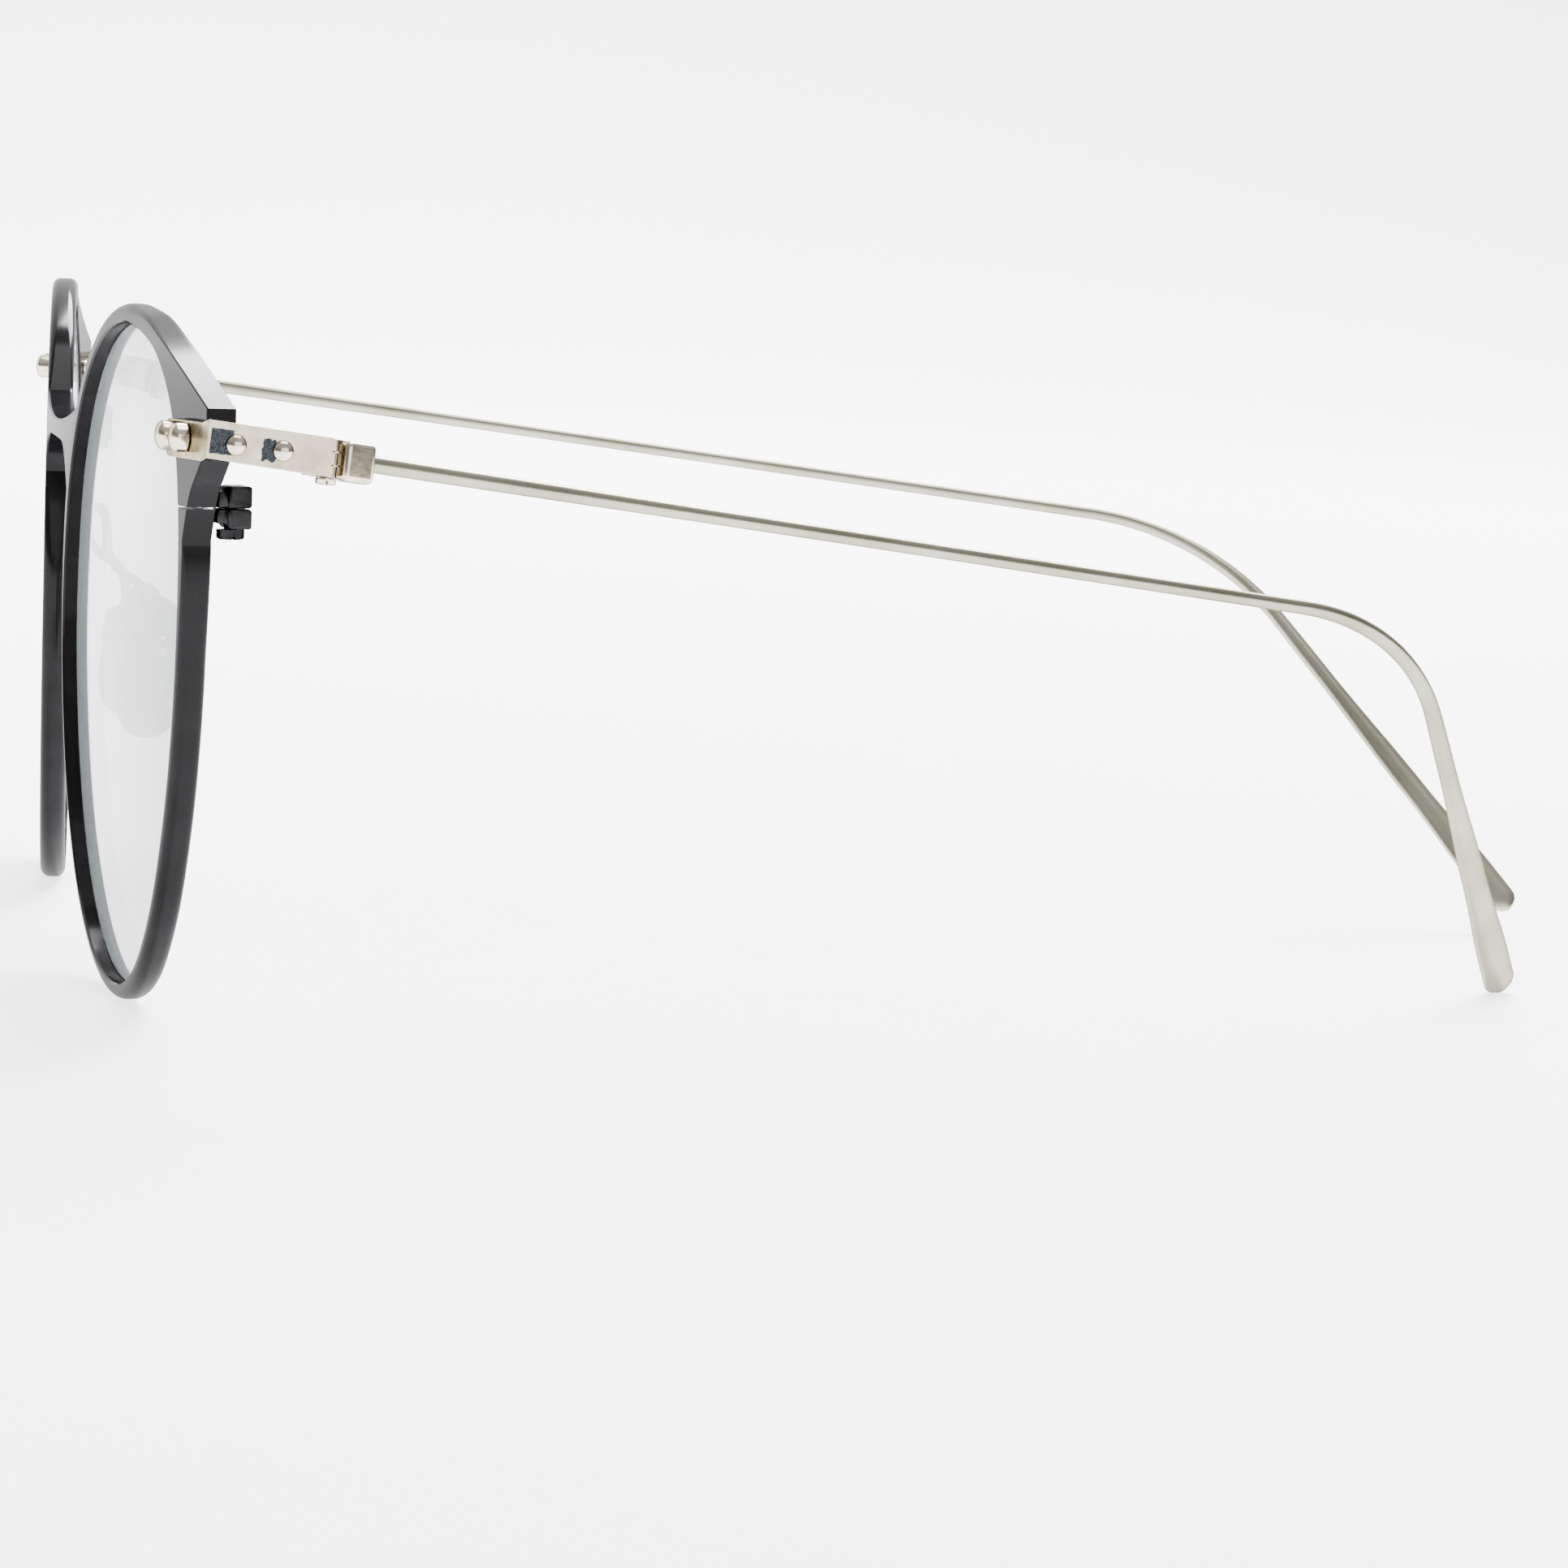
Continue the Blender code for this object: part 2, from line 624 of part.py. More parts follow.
def endpiece_shape():
    """A strip lofted from the rounded tab end, along the lug, round the corner and back."""
    to_rim = rim_matrix(LEFT)
    to_hinge = hinge_matrix(LEFT)
    front = -RIM_DEPTH / 2 - GAP
    corner_u = (HINGE.x + PLATE_OUTER - EYE_CENTRE_X) / math.cos(WRAP)
    radius = TAB_HEIGHT / 2
    runs = [radius * share for share in (0.03, 0.12, 0.3, 0.6, 1.0)]
    rest = corner_u - 1.5 * MM - (TAB_FROM + radius)
    runs += [radius + rest * share for share in (0.25, 0.5, 0.75, 1.0)]
    stations = []
    upright = to_rim.to_3x3() @ Vector((0, 0, 1))
    for run in runs:
        u = TAB_FROM + run
        share = run / (corner_u - TAB_FROM)
        v = TAB_CENTRE[0] + (TAB_CENTRE[1] - TAB_CENTRE[0]) * share
        short = max(0.0, 1 - run / radius)
        height = TAB_HEIGHT * math.sqrt(1 - short * short)
        outer = to_rim @ rim_point(u, front - TAB_THICKNESS, v)
        inner = to_rim @ rim_point(u, front, v)
        stations.append((outer, inner, upright, height))
    lean = to_hinge.to_3x3() @ Vector((0, 0, 1))
    inner_x = PLATE_OUTER - PLATE_THICKNESS
    for back, height in ((-PLATE_LENGTH, TAB_HEIGHT), (-GAP / 2, PLATE_HEIGHT)):
        step = TAB_THICKNESS if back < -GAP else 0.0
        rise = PLATE_RISE if step else 0.0
        outer = to_hinge @ Vector((PLATE_OUTER, back, rise))
        inner = to_hinge @ Vector((inner_x, back + step, rise))
        direction = (upright + lean).normalized() if step else lean
        stations.append((outer, inner, direction, height))
    sections = []
    for outer, inner, direction, height in stations:
        half = direction * height / 2
        sections.append((outer + half, inner + half, inner - half, outer - half))
    return lofted_shape(sections)


def tab_height_at(u):
    corner_u = (HINGE.x + PLATE_OUTER - EYE_CENTRE_X) / math.cos(WRAP)
    share = (u - TAB_FROM) / (corner_u - TAB_FROM)
    return TAB_CENTRE[0] + (TAB_CENTRE[1] - TAB_CENTRE[0]) * share + RIVET_RISE


def add_front_rivets(side, name, datum, endpiece, frame, metal):
    """Two rivets from the tab's face through the lug, each with a small tail behind it."""
    to_rim = rim_matrix(LEFT)
    surface = GAP + TAB_THICKNESS
    for label, u in FRONT_RIVETS:
        matrix = to_rim @ lug_matrix(u, tab_height_at(u))
        matrix = matrix @ Matrix.Translation((0, 0, surface + GAP / 2))
        grip = surface + RIM_DEPTH + 1.5 * GAP
        profile = rivet_profile(
            FRONT_RIVET_HEAD, FRONT_RIVET_CROWN, FRONT_RIVET_SHANK, grip, FRONT_RIVET_TAIL
        )
        make_part(f"front_rivet_{label}_{name}", turned_shape(profile, matrix), metal, datum, side)
        for part in (endpiece, frame):
            bore = FRONT_RIVET_SHANK + PIN_CLEARANCE
            tool = cylinder_shape(bore, -2 * grip, 0.5 * grip, matrix)
            apply_tool(part, tool, datum, side, "DIFFERENCE")


def add_side_rivets(side, name, hinge, datum, endpiece, leaf, metal):
    """Two rivets from the endpiece's outer face through the hinge leaf inside it."""
    inward = Matrix.Rotation(math.pi / 2, 4, "Y")
    grip = PLATE_THICKNESS + LEAF_THICKNESS + 2.5 * GAP
    for label, back in SIDE_RIVETS:
        matrix = Matrix.Translation((PLATE_OUTER + GAP / 2, back, 0)) @ inward
        profile = rivet_profile(
            SIDE_RIVET_HEAD, SIDE_RIVET_CROWN, SIDE_RIVET_SHANK, grip, SIDE_RIVET_TAIL
        )
        make_part(f"side_rivet_{label}_{name}", turned_shape(profile, matrix), metal, hinge, side)
        for part in (endpiece, leaf):
            bore = SIDE_RIVET_SHANK + PIN_CLEARANCE
            tool = cylinder_shape(bore, -2 * grip, 0.5 * grip, matrix)
            apply_tool(part, tool, hinge, side, "DIFFERENCE")


def add_hinge_leaf(side, name, hinge, metal):
    """A plate inside the endpiece with the hinge's top and bottom knuckles."""
    inner = LEAF_OUTER - LEAF_THICKNESS
    low = (inner, -LEAF_LENGTH, -LEAF_HALF_HEIGHT)
    shape = box_shape(low, (LEAF_OUTER, LEAF_END, LEAF_HALF_HEIGHT))
    leaf = make_part(f"hinge_leaf_{name}", shape, metal, hinge, side)
    add_chamfer(leaf, 0.12 * MM)
    clear = KNUCKLE_HALF_HEIGHT + GAP
    web_inner, web_outer, web_reach = LEAF_WEB
    for sign in (1, -1):
        low_z, high_z = sorted((sign * clear, sign * HINGE_HALF_HEIGHT))
        web = box_shape((web_inner, web_reach, low_z), (web_outer, 0, high_z))
        apply_tool(leaf, web, hinge, side, "UNION")
        knuckle = cylinder_shape(KNUCKLE_RADIUS, low_z, high_z)
        apply_tool(leaf, knuckle, hinge, side, "UNION")
    relief = cylinder_shape(KNUCKLE_RADIUS + GAP, -clear, clear)
    apply_tool(leaf, relief, hinge, side, "DIFFERENCE")
    bore = cylinder_shape(HINGE_PIN_RADIUS + PIN_CLEARANCE, -THROUGH, THROUGH)
    apply_tool(leaf, bore, hinge, side, "DIFFERENCE")
    return leaf


def add_hinge_screw(side, name, hinge, metal):
    """The hinge pin: its shank runs up through all three knuckles, its head is underneath."""
    under = -HINGE_HALF_HEIGHT - GAP / 2
    bottom = under - HINGE_SCREW_HEAD_HEIGHT
    head = HINGE_SCREW_HEAD_RADIUS
    top = HINGE_HALF_HEIGHT
    profile = (
        (0, top), (HINGE_PIN_RADIUS, top), (HINGE_PIN_RADIUS, under), (head, under),
        (head, bottom + 0.12 * MM), (0.8 * head, bottom), (0, bottom),
    )
    screw = make_part(f"hinge_screw_{name}", turned_shape(profile), metal, hinge, side)
    slot = box_shape((-2 * head, -0.09 * MM, bottom - GAP), (2 * head, 0.09 * MM, bottom + 0.2 * MM))
    apply_tool(screw, slot, hinge, side, "DIFFERENCE")


# ---------------------------------------------------------------- temples

def add_temple_block(side, name, temple, metal):
    """The block that butts against the endpiece, with the middle knuckle and a wire socket."""
    end = GAP / 2 + TEMPLE_BLOCK_LENGTH
    low = (TEMPLE_BLOCK_INNER, GAP / 2, TEMPLE_BLOCK_BOTTOM)
    shape = box_shape(low, (PLATE_OUTER, end, TEMPLE_BLOCK_TOP))
    block = make_part(f"temple_block_{name}", shape, metal, temple, side)
    add_chamfer(block, TEMPLE_BLOCK_ROUND, 2)
    relief = cylinder_shape(KNUCKLE_RADIUS + GAP, -THROUGH, THROUGH)
    apply_tool(block, relief, temple, side, "DIFFERENCE")
    tall = KNUCKLE_HALF_HEIGHT
    web_inner, web_outer, web_end = BLOCK_WEB
    web = box_shape((web_inner, 0.3 * MM, -tall), (web_outer, end - web_end, tall))
    apply_tool(block, web, temple, side, "UNION")
    apply_tool(block, cylinder_shape(KNUCKLE_RADIUS, -tall, tall), temple, side, "UNION")
    bore = cylinder_shape(HINGE_PIN_RADIUS + PIN_CLEARANCE, -THROUGH, THROUGH)
    apply_tool(block, bore, temple, side, "DIFFERENCE")
    along = Matrix.Translation((WIRE_OFFSET, 0, 0)) @ Matrix.Rotation(-math.pi / 2, 4, "X")
    radius = WIRE_SIZES[0][1] * MM / 2 + PIN_CLEARANCE
    socket = cylinder_shape(radius, end - SOCKET_DEPTH, end + 1 * MM, along)
    apply_tool(block, socket, temple, side, "DIFFERENCE")


def wire_path():
    """Points, directions and bend-plane normals along the temple wire."""
    inward = math.sin(WIRE_DROP_INWARD)
    down = Vector((-inward, 0, -math.cos(WIRE_DROP_INWARD)))
    start = Vector((WIRE_OFFSET, TEMPLE_BLOCK_LENGTH - SOCKET_DEPTH + GAP, 0))
    knee = Vector((WIRE_OFFSET, WIRE_STRAIGHT, 0))
    ahead = Vector((0, 1, 0))
    path = []
    for step in range(8):
        path.append((start.lerp(knee, step / 8), ahead, down))
    for step in range(11):
        angle = WIRE_BEND_ANGLE * step / 10
        along = WIRE_BEND_RADIUS * math.sin(angle)
        below = WIRE_BEND_RADIUS * (1 - math.cos(angle))
        direction = ahead * math.cos(angle) + down * math.sin(angle)
        normal = down * math.cos(angle) - ahead * math.sin(angle)
        path.append((knee + ahead * along + down * below, direction, normal))
    foot, direction, normal = path[-1]
    for share in (0.12, 0.24, 0.36, 0.48, 0.6, 0.7, 0.8, 0.88, 0.93, 0.965, 0.985, 0.997):
        path.append((foot + direction * WIRE_DROP * share, direction, normal))
    return path


def wire_size(share):
    """The wire's height and width at a share of its length."""
    for (low, high_a, wide_a), (high, high_b, wide_b) in zip(WIRE_SIZES, WIRE_SIZES[1:]):
        if share <= high:
            t = (share - low) / (high - low)
            t = t * t * (3 - 2 * t)
            return (high_a + (high_b - high_a) * t) * MM, (wide_a + (wide_b - wide_a) * t) * MM
    return WIRE_SIZES[-1][1] * MM, WIRE_SIZES[-1][2] * MM


def wire_shape():
    path = wire_path()
    lengths = [0.0]
    for (here, _, _), (there, _, _) in zip(path, path[1:]):
        lengths.append(lengths[-1] + (there - here).length)
    total = lengths[-1]
    sections = []
    for (point, direction, normal), length in zip(path, lengths):
        height, width = wire_size(length / total)
        left = total - length
        round_over = 1.3 * MM
        if left < round_over:
            shrink = math.sqrt(max(0.02, 1 - ((round_over - left) / round_over) ** 2))
            height *= shrink
            width *= 0.35 + 0.65 * shrink
        across = direction.cross(normal)
        section = []
        for i in range(WIRE_SIDES):
            angle = 2 * math.pi * (i + 0.5) / WIRE_SIDES
            offset = normal * math.cos(angle) * height / 2 + across * math.sin(angle) * width / 2
            section.append(point + offset)
        sections.append(section)
    return lofted_shape(sections)


# ---------------------------------------------------------------- nose pads

def pad_arm_shape():
    """A round wire that leaves the rim, drops, turns back and ends in the pad box."""
    line = smooth_curve([Vector(p) * MM for p in PAD_ARM_PATH], False, 2)
    sections = []
    side_axis = Vector((1, 0, 0))
    for i, point in enumerate(line):
        run = (line[min(i + 1, len(line) - 1)] - line[max(i - 1, 0)]).normalized()
        across = run.cross(side_axis).normalized()
        out = across.cross(run)
        section = []
        for k in range(8):
            angle = 2 * math.pi * k / 8
            section.append(point + PAD_ARM_RADIUS * (out * math.cos(angle) + across * math.sin(angle)))
        sections.append(section)
    return lofted_shape(sections)


def pad_matrix(side):
    """Pad axes: X away from the nose, Y along the rocking screw towards the back, Z up."""
    turn = Matrix.Rotation(-side * PAD_FLARE, 4, "Z") @ Matrix.Rotation(-side * PAD_SPLAY, 4, "Y")
    centre = Vector((side * PAD_BOX_CENTRE.x, PAD_BOX_CENTRE.y, PAD_BOX_CENTRE.z))
    return Matrix.Translation(centre) @ turn


def pad_shape():
    """A D-shaped pad with soft edges: its outline shrinks towards both of its faces."""
    sections = []
    levels = ((-1.0, 0.72), (-0.82, 0.9), (-0.35, 1.0), (0.3, 1.0), (0.75, 0.93), (1.0, 0.8))
    for level, size in levels:
        x = -PAD_STANDOFF - PAD_THICKNESS / 2 + level * PAD_THICKNESS / 2
        section = []
        for i in range(24):
            angle = 2 * math.pi * i / 24
            width = PAD_HALF_WIDTH * (1 - 0.16 * math.sin(angle))
            y = width * size * math.copysign(abs(math.cos(angle)) ** 0.85, math.cos(angle))
            z = PAD_HALF_HEIGHT * size * math.sin(angle) - PAD_DROP
            section.append(Vector((x, y, z)))
        sections.append(section)
    return lofted_shape(sections)


def add_nose_pad(side, name, datum, metal, screw_metal, silicone):
    make_part(f"nose_pad_arm_{name}", pad_arm_shape(), metal, datum, side)
    mount = make_empty(f"nose_pad_axis_{name}", datum, pad_matrix(side))
    half = PAD_BOX_SIZE / 2
    box = make_part(f"nose_pad_box_{name}", box_shape(-half, half), metal, mount, side)
    add_chamfer(box, 0.22 * MM, 2)
    slot_half = PAD_SLOT_WIDTH / 2
    slot = box_shape((-2 * half.x, -slot_half, -2 * half.z), (PAD_SLOT_END, slot_half, 2 * half.z))
    apply_tool(box, slot, mount, side, "DIFFERENCE")
    along = Matrix.Rotation(-math.pi / 2, 4, "X")
    bore = PAD_SCREW_RADIUS + PIN_CLEARANCE
    apply_tool(box, cylinder_shape(bore, -THROUGH, THROUGH, along), mount, side, "DIFFERENCE")
    wire_end = Vector(PAD_ARM_PATH[-1]) * MM
    at_wire_end = pad_matrix(LEFT).inverted() @ Matrix.Translation(wire_end)
    seat = cylinder_shape(PAD_ARM_RADIUS + GAP, -PAD_SEAT_DEPTH, THROUGH, at_wire_end)
    apply_tool(box, seat, mount, side, "DIFFERENCE")
    head_radius, head_height = PAD_SCREW_HEAD
    under = half.y + GAP / 2
    profile = (
        (0, -half.y), (PAD_SCREW_RADIUS, -half.y), (PAD_SCREW_RADIUS, under), (head_radius, under),
        (head_radius, under + 0.75 * head_height), (0.75 * head_radius, under + head_height),
        (0, under + head_height),
    )
    screw = make_part(f"nose_pad_screw_{name}", turned_shape(profile, along), screw_metal, mount, side)
    slot = box_shape((-2 * MM, under + 0.6 * head_height, -0.1 * MM),
                     (2 * MM, under + 2 * head_height, 0.1 * MM))
    apply_tool(screw, slot, mount, side, "DIFFERENCE")
    pad = make_part(f"nose_pad_{name}", pad_shape(), silicone, mount, side)
    tang_half = slot_half - GAP
    tang = box_shape((-PAD_STANDOFF - 0.4 * MM, -tang_half, -0.8 * MM), (0.2 * MM, tang_half, 0.6 * MM))
    apply_tool(pad, tang, mount, side, "UNION")
    apply_tool(pad, cylinder_shape(bore, -THROUGH, THROUGH, along), mount, side, "DIFFERENCE")


# ---------------------------------------------------------------- assembly

def lowest_point(part):
    """The lowest world point of a part's mesh."""
    bpy.context.view_layer.update()
    return min((part.matrix_world @ v.co for v in part.data.vertices), key=lambda p: p.z)


def settle(datum, frame, wires):
    """Leans the pair until its rims and the left tip touch the table, at height 0.

    The origin is then the middle of the space that the pair takes up on the table.
    """
    for _ in range(6):
        rim = lowest_point(frame)
        tip = lowest_point(wires[LEFT])
        datum.rotation_euler.x += math.atan2(rim.z - tip.z, tip.y - rim.y)
    datum.location.z -= lowest_point(frame).z
    front = min((frame.matrix_world @ v.co).y for v in frame.data.vertices)
    rear = max((wire.matrix_world @ v.co).y for wire in wires.values() for v in wire.data.vertices)
    datum.location.y -= (front + rear) / 2


def build():
    clear_scene()
    black = make_material("black_lacquer", (0.02, 0.019, 0.02), 0.3, 0.35)
    nickel = make_material("polished_nickel", (0.84, 0.81, 0.74), 1.0, 0.15)
    satin = make_material("satin_metal", (0.62, 0.62, 0.58), 1.0, 0.32)
    dark = make_material("blackened_steel", (0.05, 0.05, 0.05), 0.8, 0.35)
    arm_metal = make_material("pad_arm_metal", (0.6, 0.6, 0.58), 1.0, 0.3)
    clear = make_material("clear_lens", (0.92, 0.95, 0.95), 0.0, 0.05, 0.25)
    silicone = make_material("clear_silicone", (0.9, 0.9, 0.88), 0.0, 0.25, 0.6)
    datum = make_empty("resting_datum", None, Matrix())
    frame = make_part("front_frame", front_frame_shape(), black, datum)
    wires = {}
    for side, name in SIDES:
        rim = make_empty(f"rim_axes_{name}", datum, rim_matrix(side))
        hinge = make_empty(f"hinge_axes_{name}", datum, hinge_matrix(side))
        fold = LEFT_FOLD if side == LEFT else RIGHT_FOLD
        turn = Matrix.Rotation(side * fold, 4, "Z")
        temple = make_empty(f"temple_axes_{name}", hinge, turn)
        split = box_shape(
            (20 * MM, -3 * MM, SPLIT_HEIGHT - SPLIT_WIDTH / 2),
            (28 * MM, 5 * MM, SPLIT_HEIGHT + SPLIT_WIDTH / 2),
        )
        apply_tool(frame, split, rim, side, "DIFFERENCE")
        make_part(f"lens_{name}", lens_shape(), clear, rim, side)
        add_closing_block(side, name, rim, dark)
        endpiece = make_part(f"endpiece_{name}", endpiece_shape(), nickel, datum, side)
        add_chamfer(endpiece, ENDPIECE_CHAMFER)
        leaf = add_hinge_leaf(side, name, hinge, nickel)
        add_front_rivets(side, name, datum, endpiece, frame, nickel)
        add_side_rivets(side, name, hinge, datum, endpiece, leaf, nickel)
        add_hinge_screw(side, name, hinge, nickel)
        add_temple_block(side, name, temple, nickel)
        wires[side] = make_part(f"temple_wire_{name}", wire_shape(), satin, temple, side)
        add_nose_pad(side, name, datum, arm_metal, nickel, silicone)
    settle(datum, frame, wires)
    bpy.context.view_layer.update()


build()
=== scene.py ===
"""Finished surfaces, materials, camera and light for the round eyeglasses."""
import json
import math

import bmesh
import bpy
from mathutils import Matrix, Vector


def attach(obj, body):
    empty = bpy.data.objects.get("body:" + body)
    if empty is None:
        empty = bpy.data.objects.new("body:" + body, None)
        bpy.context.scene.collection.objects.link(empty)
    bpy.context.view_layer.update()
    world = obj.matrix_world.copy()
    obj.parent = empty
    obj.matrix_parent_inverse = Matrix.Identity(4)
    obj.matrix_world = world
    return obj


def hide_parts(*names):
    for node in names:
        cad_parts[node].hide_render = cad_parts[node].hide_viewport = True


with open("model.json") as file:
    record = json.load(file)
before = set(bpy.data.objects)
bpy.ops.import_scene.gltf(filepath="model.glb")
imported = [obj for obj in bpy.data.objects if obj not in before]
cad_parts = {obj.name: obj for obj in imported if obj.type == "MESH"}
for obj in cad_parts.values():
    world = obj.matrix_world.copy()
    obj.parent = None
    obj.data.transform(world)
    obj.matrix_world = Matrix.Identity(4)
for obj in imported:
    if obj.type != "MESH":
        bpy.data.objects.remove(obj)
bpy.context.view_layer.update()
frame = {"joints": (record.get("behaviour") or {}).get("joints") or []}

MM = 0.001
LEFT = 1
RIGHT = -1
SIDES = ((LEFT, "left"), (RIGHT, "right"))
GAP = 0.1 * MM
# How far a cutting tool reaches past the piece it cuts, to each side.
THROUGH = 3 * MM

# The front: rims, lugs and bridge.
EYE_CENTRE_X = 35.5 * MM
WRAP = math.radians(4.7)
TILT = math.radians(2.0)
RIM_DEPTH = 2.06 * MM
RIM_WALL = 1.18 * MM
BROW_WALL = 0.18 * MM
RIM_STATIONS = 288
GROOVE_DEPTH = 0.45 * MM
GROOVE_HALF_WIDTH = 0.36 * MM
INNER_SOFT_EDGE = 0.14 * MM
OUTER_SOFT_EDGE = 0.14 * MM
OUTER_ROUND = 0.82 * MM
BACK_ROUND = 0.15 * MM
EDGE_STEPS = 6
EDGE_POINTS = 2 * EDGE_STEPS + 2
LUG_BEND_START = 14.0 * MM
LUG_BEND_RADIUS = 105.0 * MM
SPLIT_HEIGHT = 12.15 * MM
SPLIT_WIDTH = 0.14 * MM
SPLIT_FROM = (20 * MM, -3 * MM)
SPLIT_TO = (28 * MM, 5 * MM)
EYE_OUTLINE = (
    (-0.5, 24.1), (8.5, 23.6), (16.0, 21.9), (20.9, 18.1), (23.0, 12.0), (23.3, 4.5),
    (22.5, -3.2), (20.4, -10.6), (16.6, -17.2), (10.4, -21.9), (2.0, -23.95), (-7.0, -22.8),
    (-15.2, -18.4), (-21.0, -11.6), (-24.1, -3.0), (-24.2, 5.4), (-21.7, 13.0), (-16.2, 18.9),
    (-9.0, 22.5),
)
LUG_UPPER = ((9.5, 24.95), (14.4, 24.0), (18.9, 22.9), (23.2, 21.6), (26.4, 20.45), (29.5, 19.2))
LUG_LOWER = ((29.6, 16.6), (27.7, 14.8), (25.9, 13.0))
LUG_FROM = 0.032
LUG_CORNER = 0.146
LUG_TO = 0.205
BRIDGE_FROM = 0.864
BRIDGE_TO = 0.818
# How rounded the front's outer edge is, by the share of the way round: flat cut only at the lug.
ROUNDNESS = (
    (0.0, 0.9), (0.05, 0.5), (0.10, 0.0), (0.21, 0.0), (0.255, 1.0), (0.76, 1.0), (0.80, 0.4),
    (0.82, 0.1), (0.86, 0.1), (0.89, 0.6), (1.0, 0.9),
)
BRIDGE_COLUMNS = 60
BRIDGE_TOP = 15.55 * MM
BRIDGE_HEIGHT = 1.5 * MM
BRIDGE_FORWARD = 2.05 * MM

# The lenses.
LENS_SEAT = 0.45 * MM
LENS_EDGE_THICKNESS = 0.8 * MM
LENS_DOME = 1.0 * MM
LENS_BEVEL = 0.25 * MM
LENS_INSET = 0.12 * MM
LENS_RINGS = 24

# The closing blocks.
BLOCK_U = 24.2 * MM
BLOCK_HALF_WIDTH = 1.3 * MM
BLOCK_DEPTH = 2.4 * MM
BLOCK_NECK = 0.65 * MM
BLOCK_SPLIT_WIDTH = 0.06 * MM
BLOCK_UPPER_HEIGHT = 1.55 * MM
BLOCK_LOWER_HEIGHT = 1.42 * MM
BLOCK_NECK_WIDTH = 0.72
BLOCK_NECK_REACH = 0.74
BLOCK_SHOULDER = 0.16 * MM
BLOCK_BEVEL = 0.2 * MM
CLOSING_SCREW_HEAD_RADIUS = 0.98 * MM
CLOSING_SCREW_HEAD_HEIGHT = 0.7 * MM
CLOSING_SCREW_RADIUS = 0.45 * MM
CLOSING_SCREW_END = 0.2 * MM
CLOSING_SLOT_HALF_WIDTH = 0.1 * MM
CLOSING_SLOT_DEPTH = 0.25 * MM

# The hinges and endpieces.
HINGE = Vector((65.5, 11.35, 15.7)) * MM
HINGE_SLOPE = math.radians(8.0)
HINGE_LEAN = math.radians(5.4)
LEFT_FOLD = math.radians(22.8)
RIGHT_FOLD = math.radians(7.0)
KNUCKLE_RADIUS = 1.15 * MM
KNUCKLE_HALF_HEIGHT = 0.42 * MM
HINGE_HALF_HEIGHT = 1.32 * MM
HINGE_PIN_RADIUS = 0.4 * MM
HINGE_SCREW_HEAD_RADIUS = 0.72 * MM
HINGE_SCREW_HEAD_HEIGHT = 0.42 * MM
HINGE_SLOT_HALF_WIDTH = 0.09 * MM
HINGE_SLOT_DEPTH = 0.2 * MM
BORE_RADIUS = HINGE_PIN_RADIUS + 0.05 * MM
TAB_FROM = 22.4 * MM
TAB_HEIGHT = 2.62 * MM
TAB_THICKNESS = 0.75 * MM
TAB_CENTRE = (16.95 * MM, 17.0 * MM)
PLATE_OUTER = 2.4 * MM
PLATE_THICKNESS = 1.05 * MM
PLATE_LENGTH = 8.55 * MM
PLATE_HEIGHT = 2.66 * MM
PLATE_RISE = 0.18 * MM
ENDPIECE_CHAMFER = 0.22 * MM
LEAF_OUTER = PLATE_OUTER - PLATE_THICKNESS - GAP
LEAF_THICKNESS = 0.85 * MM
LEAF_LENGTH = 7.75 * MM
LEAF_HALF_HEIGHT = 1.05 * MM
LEAF_END = -1.2 * MM
LEAF_BEVEL = 0.12 * MM
LEAF_WEB = ((0.1 * MM, -1.7 * MM), (1.1 * MM, 0.0))

# The rivets.
FRONT_RIVETS = (("outer", 27.7 * MM), ("inner", 24.5 * MM))
RIVET_RISE = 0.15 * MM
FRONT_RIVET_HEAD = (1.0 * MM, 1.2 * MM)
FRONT_RIVET_CROWN = 0.42
FRONT_RIVET_SHANK = 0.4 * MM
FRONT_RIVET_TAIL = (0.62 * MM, 0.3 * MM)
SIDE_RIVETS = (("front", -6.6 * MM), ("rear", -3.4 * MM))
SIDE_RIVET_HEAD = (0.72 * MM, 0.5 * MM)
SIDE_RIVET_CROWN = 0.92
SIDE_RIVET_SHANK = 0.3 * MM
SIDE_RIVET_TAIL = (0.5 * MM, 0.22 * MM)

# The temples.
TEMPLE_BLOCK_LENGTH = 2.4 * MM
TEMPLE_BLOCK_TOP = 1.28 * MM
TEMPLE_BLOCK_BOTTOM = -1.48 * MM
TEMPLE_BLOCK_INNER = 0.45 * MM
TEMPLE_BLOCK_ROUND = 0.4 * MM
TEMPLE_WEB_FROM = (0.2 * MM, 0.3 * MM)
TEMPLE_WEB_SIDE = 1.1 * MM
TEMPLE_WEB_END = 0.5 * MM
SOCKET_DEPTH = 0.6 * MM
WIRE_OFFSET = 1.4 * MM
WIRE_STRAIGHT = 85.3 * MM
WIRE_BEND_RADIUS = 24.3 * MM
WIRE_BEND_ANGLE = math.radians(48.0)
WIRE_DROP = 33.7 * MM
WIRE_DROP_INWARD = math.radians(33.5)
WIRE_SIDES = 32
WIRE_STEPS = 40
BEND_STEPS = 36
TIP_ROUND = 1.3 * MM
TIP_END_WIDTH = 0.35
# Extra stations near the tip, where it rounds over, as shares of the drop.
TIP_SHARES = (0.9965, 0.9985, 0.9995)
WIRE_SIZES = (
    (0.00, 1.22, 1.20), (0.30, 1.06, 1.04), (0.55, 1.08, 1.04), (0.70, 1.22, 1.06),
    (0.80, 1.50, 1.04), (0.90, 2.15, 1.00), (0.97, 2.75, 0.96),
)

